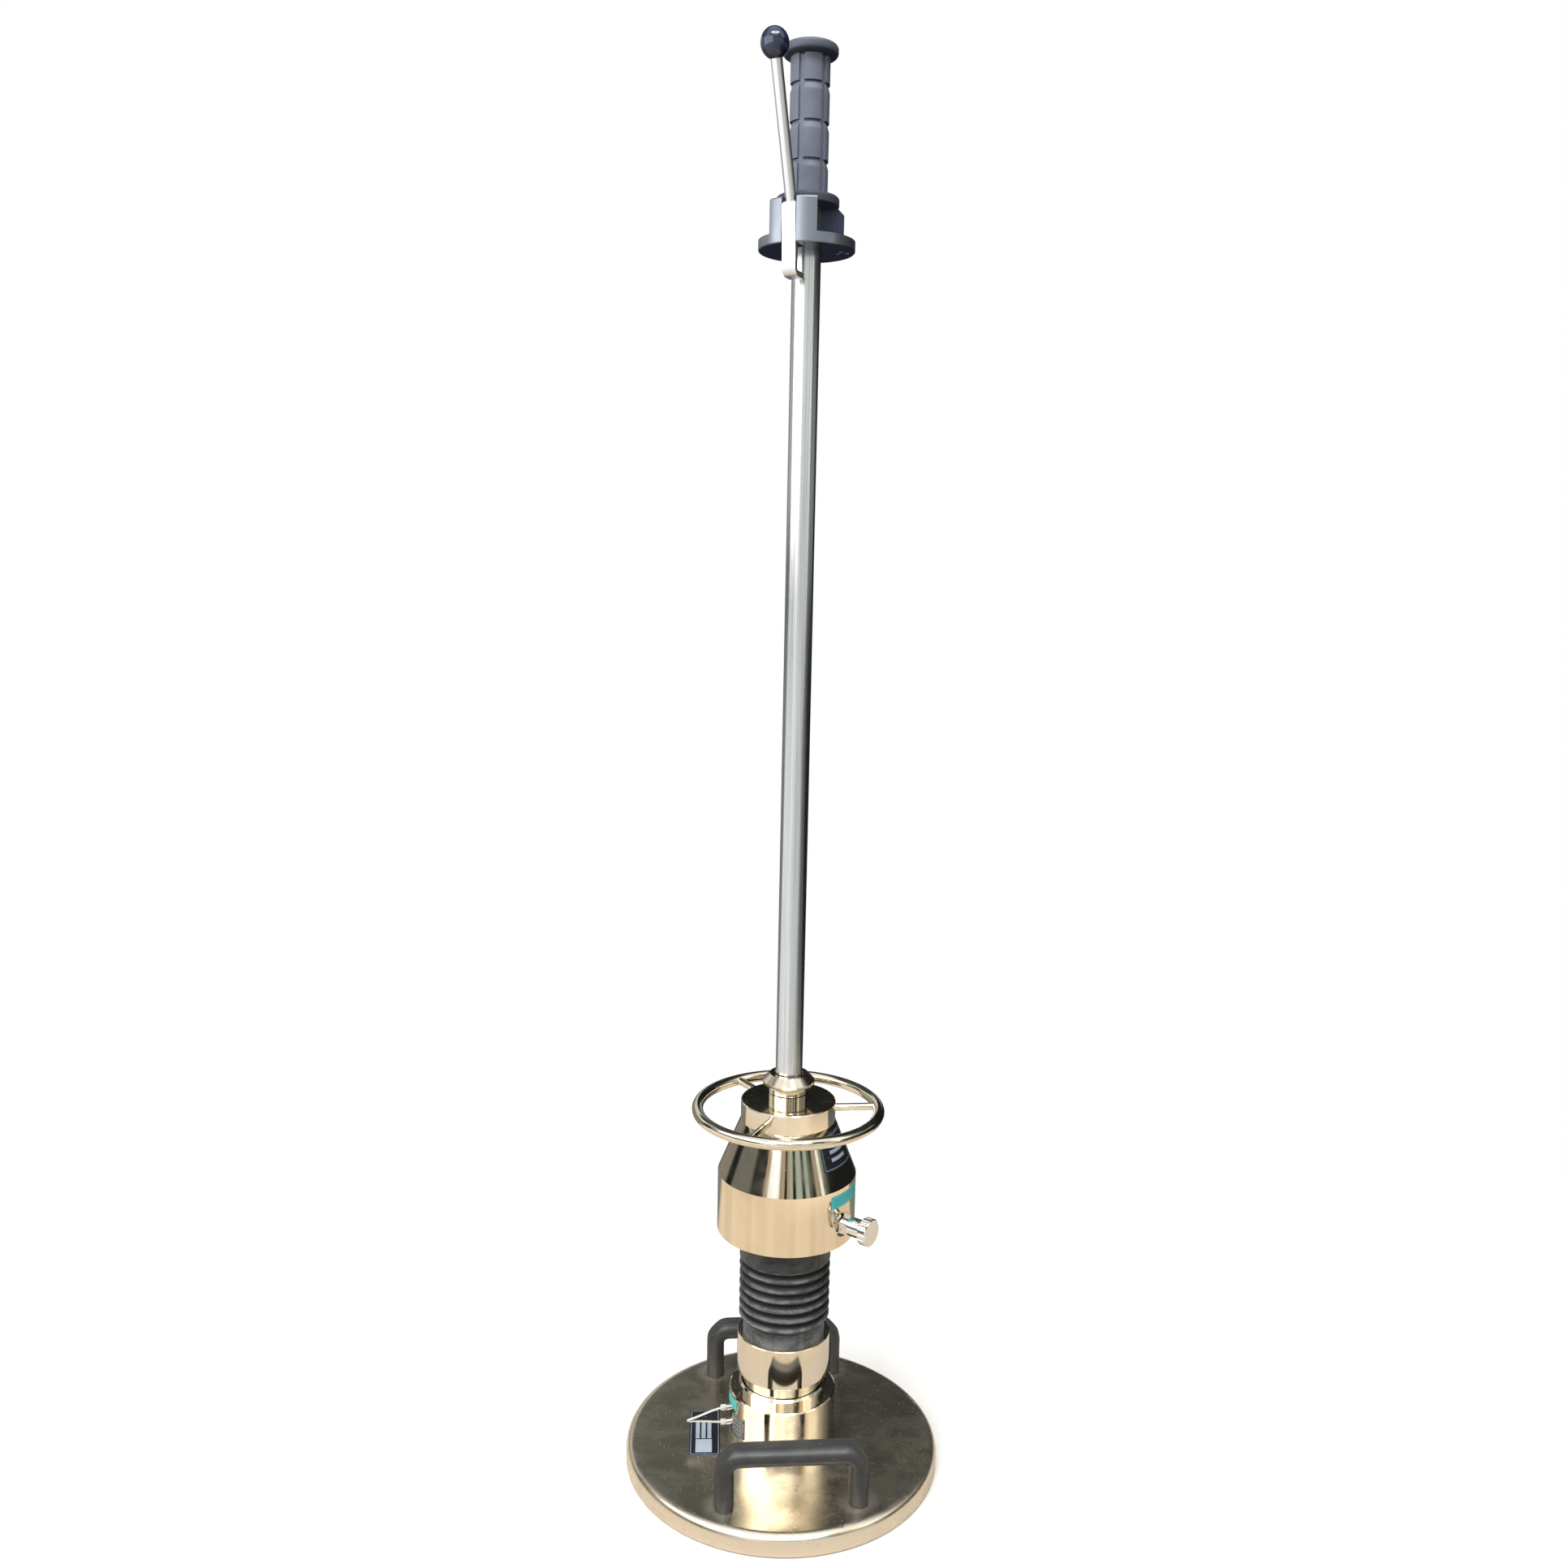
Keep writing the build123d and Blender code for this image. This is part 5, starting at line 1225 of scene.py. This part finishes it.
def studio_world():
    """White to the camera; to light and mirrors a dim room, pale overhead, with upright blinds in front."""
    world = bpy.data.worlds.new("studio")
    world.use_nodes = True
    world.node_tree.nodes.clear()
    bench = Bench(world.node_tree)
    rays = bench.node("ShaderNodeLightPath").outputs
    x, y, z = bench.parts(bench.node("ShaderNodeTexCoord").outputs["Generated"])
    ahead = bench.product(y, -1.0)
    bearing = bench.maths("DEGREES", bench.maths("ARCTAN2", x, ahead))

    def upright(middle, half):
        """1 on an upright band of the room at that bearing, 0 off it."""
        return bench.fade(bench.off(bearing, float(middle)), half * band_core, half)

    dusk = bench.product(bench.spread(z, *dusk_bottom), bench.spread(x, -0.06, 0.13, 1.0, 0.22))
    room = bench.blend(dusk, room_dark, room_dusk)
    level = bench.spread(z, *horizon)
    room = bench.blend(bench.product(upright(*left_wall), level), room, room_left)
    fronted = bench.blend(bench.spread(z, *front_rise), floor_front, room_front)
    wide = bench.product(upright(*front_wide), bench.fade(z, *front_wide_top))
    narrow = bench.product(upright(*front_narrow), bench.fade(z, *blinds_bottom))
    room = bench.blend(bench.highest(wide, narrow), room, fronted)
    below = bench.fade(z, *back_top)
    room = bench.blend(bench.product(upright(*back_left_wall), level, below), room, floor_back_left)
    silver = bench.product(upright(*silver_wall), bench.spread(z, *silver_bottom), bench.fade(z, *silver_top))
    room = bench.blend(silver, room, room_back_left)
    turned_away = bench.spread(bench.maths("ABSOLUTE", bearing), *back_turn)
    room = bench.blend(bench.product(turned_away, level, below), room, room_back)
    rise = bench.total(z, bench.product(bearing, bearing, 0.000012))
    blinds = bench.spread(rise, *blinds_bottom)
    for middle, half, tone in blind_bands:
        room = bench.blend(bench.product(upright(middle, half), blinds), room, tone)
    sky = sky_tan
    for middle, half, tone in sky_bands:
        sky = bench.blend(upright(middle, half), sky, tone)
    raised = bench.product(bench.spread(z, *sky_bottom), bench.spread(ahead, -0.30, 0.25))
    room = bench.blend(raised, room, sky)
    overhead = bench.spread(bench.total(z, bench.spread(ahead, -0.25, 0.05, -0.14, 0.0)), *overhead_bottom)
    room = bench.blend(overhead, room, room_overhead)
    window = bench.product(rays["Is Glossy Ray"], upright(*window_wall), bench.spread(z, *window_bottom),
                           bench.fade(z, *window_top))
    room = bench.blend(window, room, window_glare)
    shown = bench.blend(rays["Is Camera Ray"], room, white)
    light = bench.node("ShaderNodeBackground", {"Color": shown, "Strength": 1.0})
    bench.node("ShaderNodeOutputWorld", {"Surface": light.outputs[0]})
    return world


def softbox(name, place, aim, width, height, power, mirrored=True):
    """Rectangular light that looks at a point; where it isn't mirrored, no shiny face shows it."""
    light = bpy.data.lights.new(name, "AREA")
    light.shape = "RECTANGLE"
    light.size = width
    light.size_y = height
    light.energy = power
    lamp = new_object(name, light)
    facing = (Vector(aim) - Vector(place)).to_track_quat("-Z", "Y")
    lamp.matrix_world = Matrix.Translation(place) @ facing.to_matrix().to_4x4()
    lamp.visible_camera = False
    lamp.visible_glossy = mirrored


bpy.context.scene.world = studio_world()
softbox("top_softbox", (-0.5, -0.6, 3.3), (0, 0, 0.2), 2.6, 2.6, 56, mirrored=False)
softbox("left_softbox", (-1.25, -0.85, 1.46), (0, 0, 1.46), 2.2, 1.07, 21)
softbox("left_back_panel", (-1.45, 0.45, 1.38), (0, 0, 1.38), 1.3, 0.9, 1.4)
softbox("right_panel", (2.0, -0.1, 1.10), (0, 0, 1.10), 2.2, 0.6, 1.0)
softbox("right_strip", (2.0, -1.3, 1.5), (0, 0, 0.9), 0.25, 1.6, 1.3)
softbox("back_fill", (1.4, 2.4, 2.2), (0, 0, 0.5), 1.8, 1.8, 6, mirrored=False)
softbox("left_lamp", (-0.55, -1.1, 2.7), (0, 0, 0.8), 0.5, 0.15, 8)
softbox("right_lamp", (0.5, -1.0, 2.7), (0, 0, 0.8), 0.5, 0.15, 8)

# Camera: turned from its yaw, pitch and roll
camera_data = bpy.data.cameras.new("camera")
camera_data.lens = camera_lens
camera_data.sensor_width = camera_sensor
camera_data.sensor_fit = "HORIZONTAL"
camera = new_object("camera", camera_data)
yaw, pitch, roll = (math.radians(angle) for angle in (camera_yaw, camera_pitch, camera_roll))
ahead = Vector((math.sin(yaw) * math.cos(pitch), math.cos(yaw) * math.cos(pitch), -math.sin(pitch)))
right = Vector((math.cos(yaw), -math.sin(yaw), 0))
up = right.cross(ahead)
rolled_right = math.cos(roll) * right + math.sin(roll) * up
rolled_up = math.cos(roll) * up - math.sin(roll) * right
axes = Matrix((rolled_right, rolled_up, -ahead)).transposed()
camera.matrix_world = Matrix.Translation(camera_place) @ axes.to_4x4()
bpy.context.scene.camera = camera
bpy.context.scene.view_settings.view_transform = "Standard"
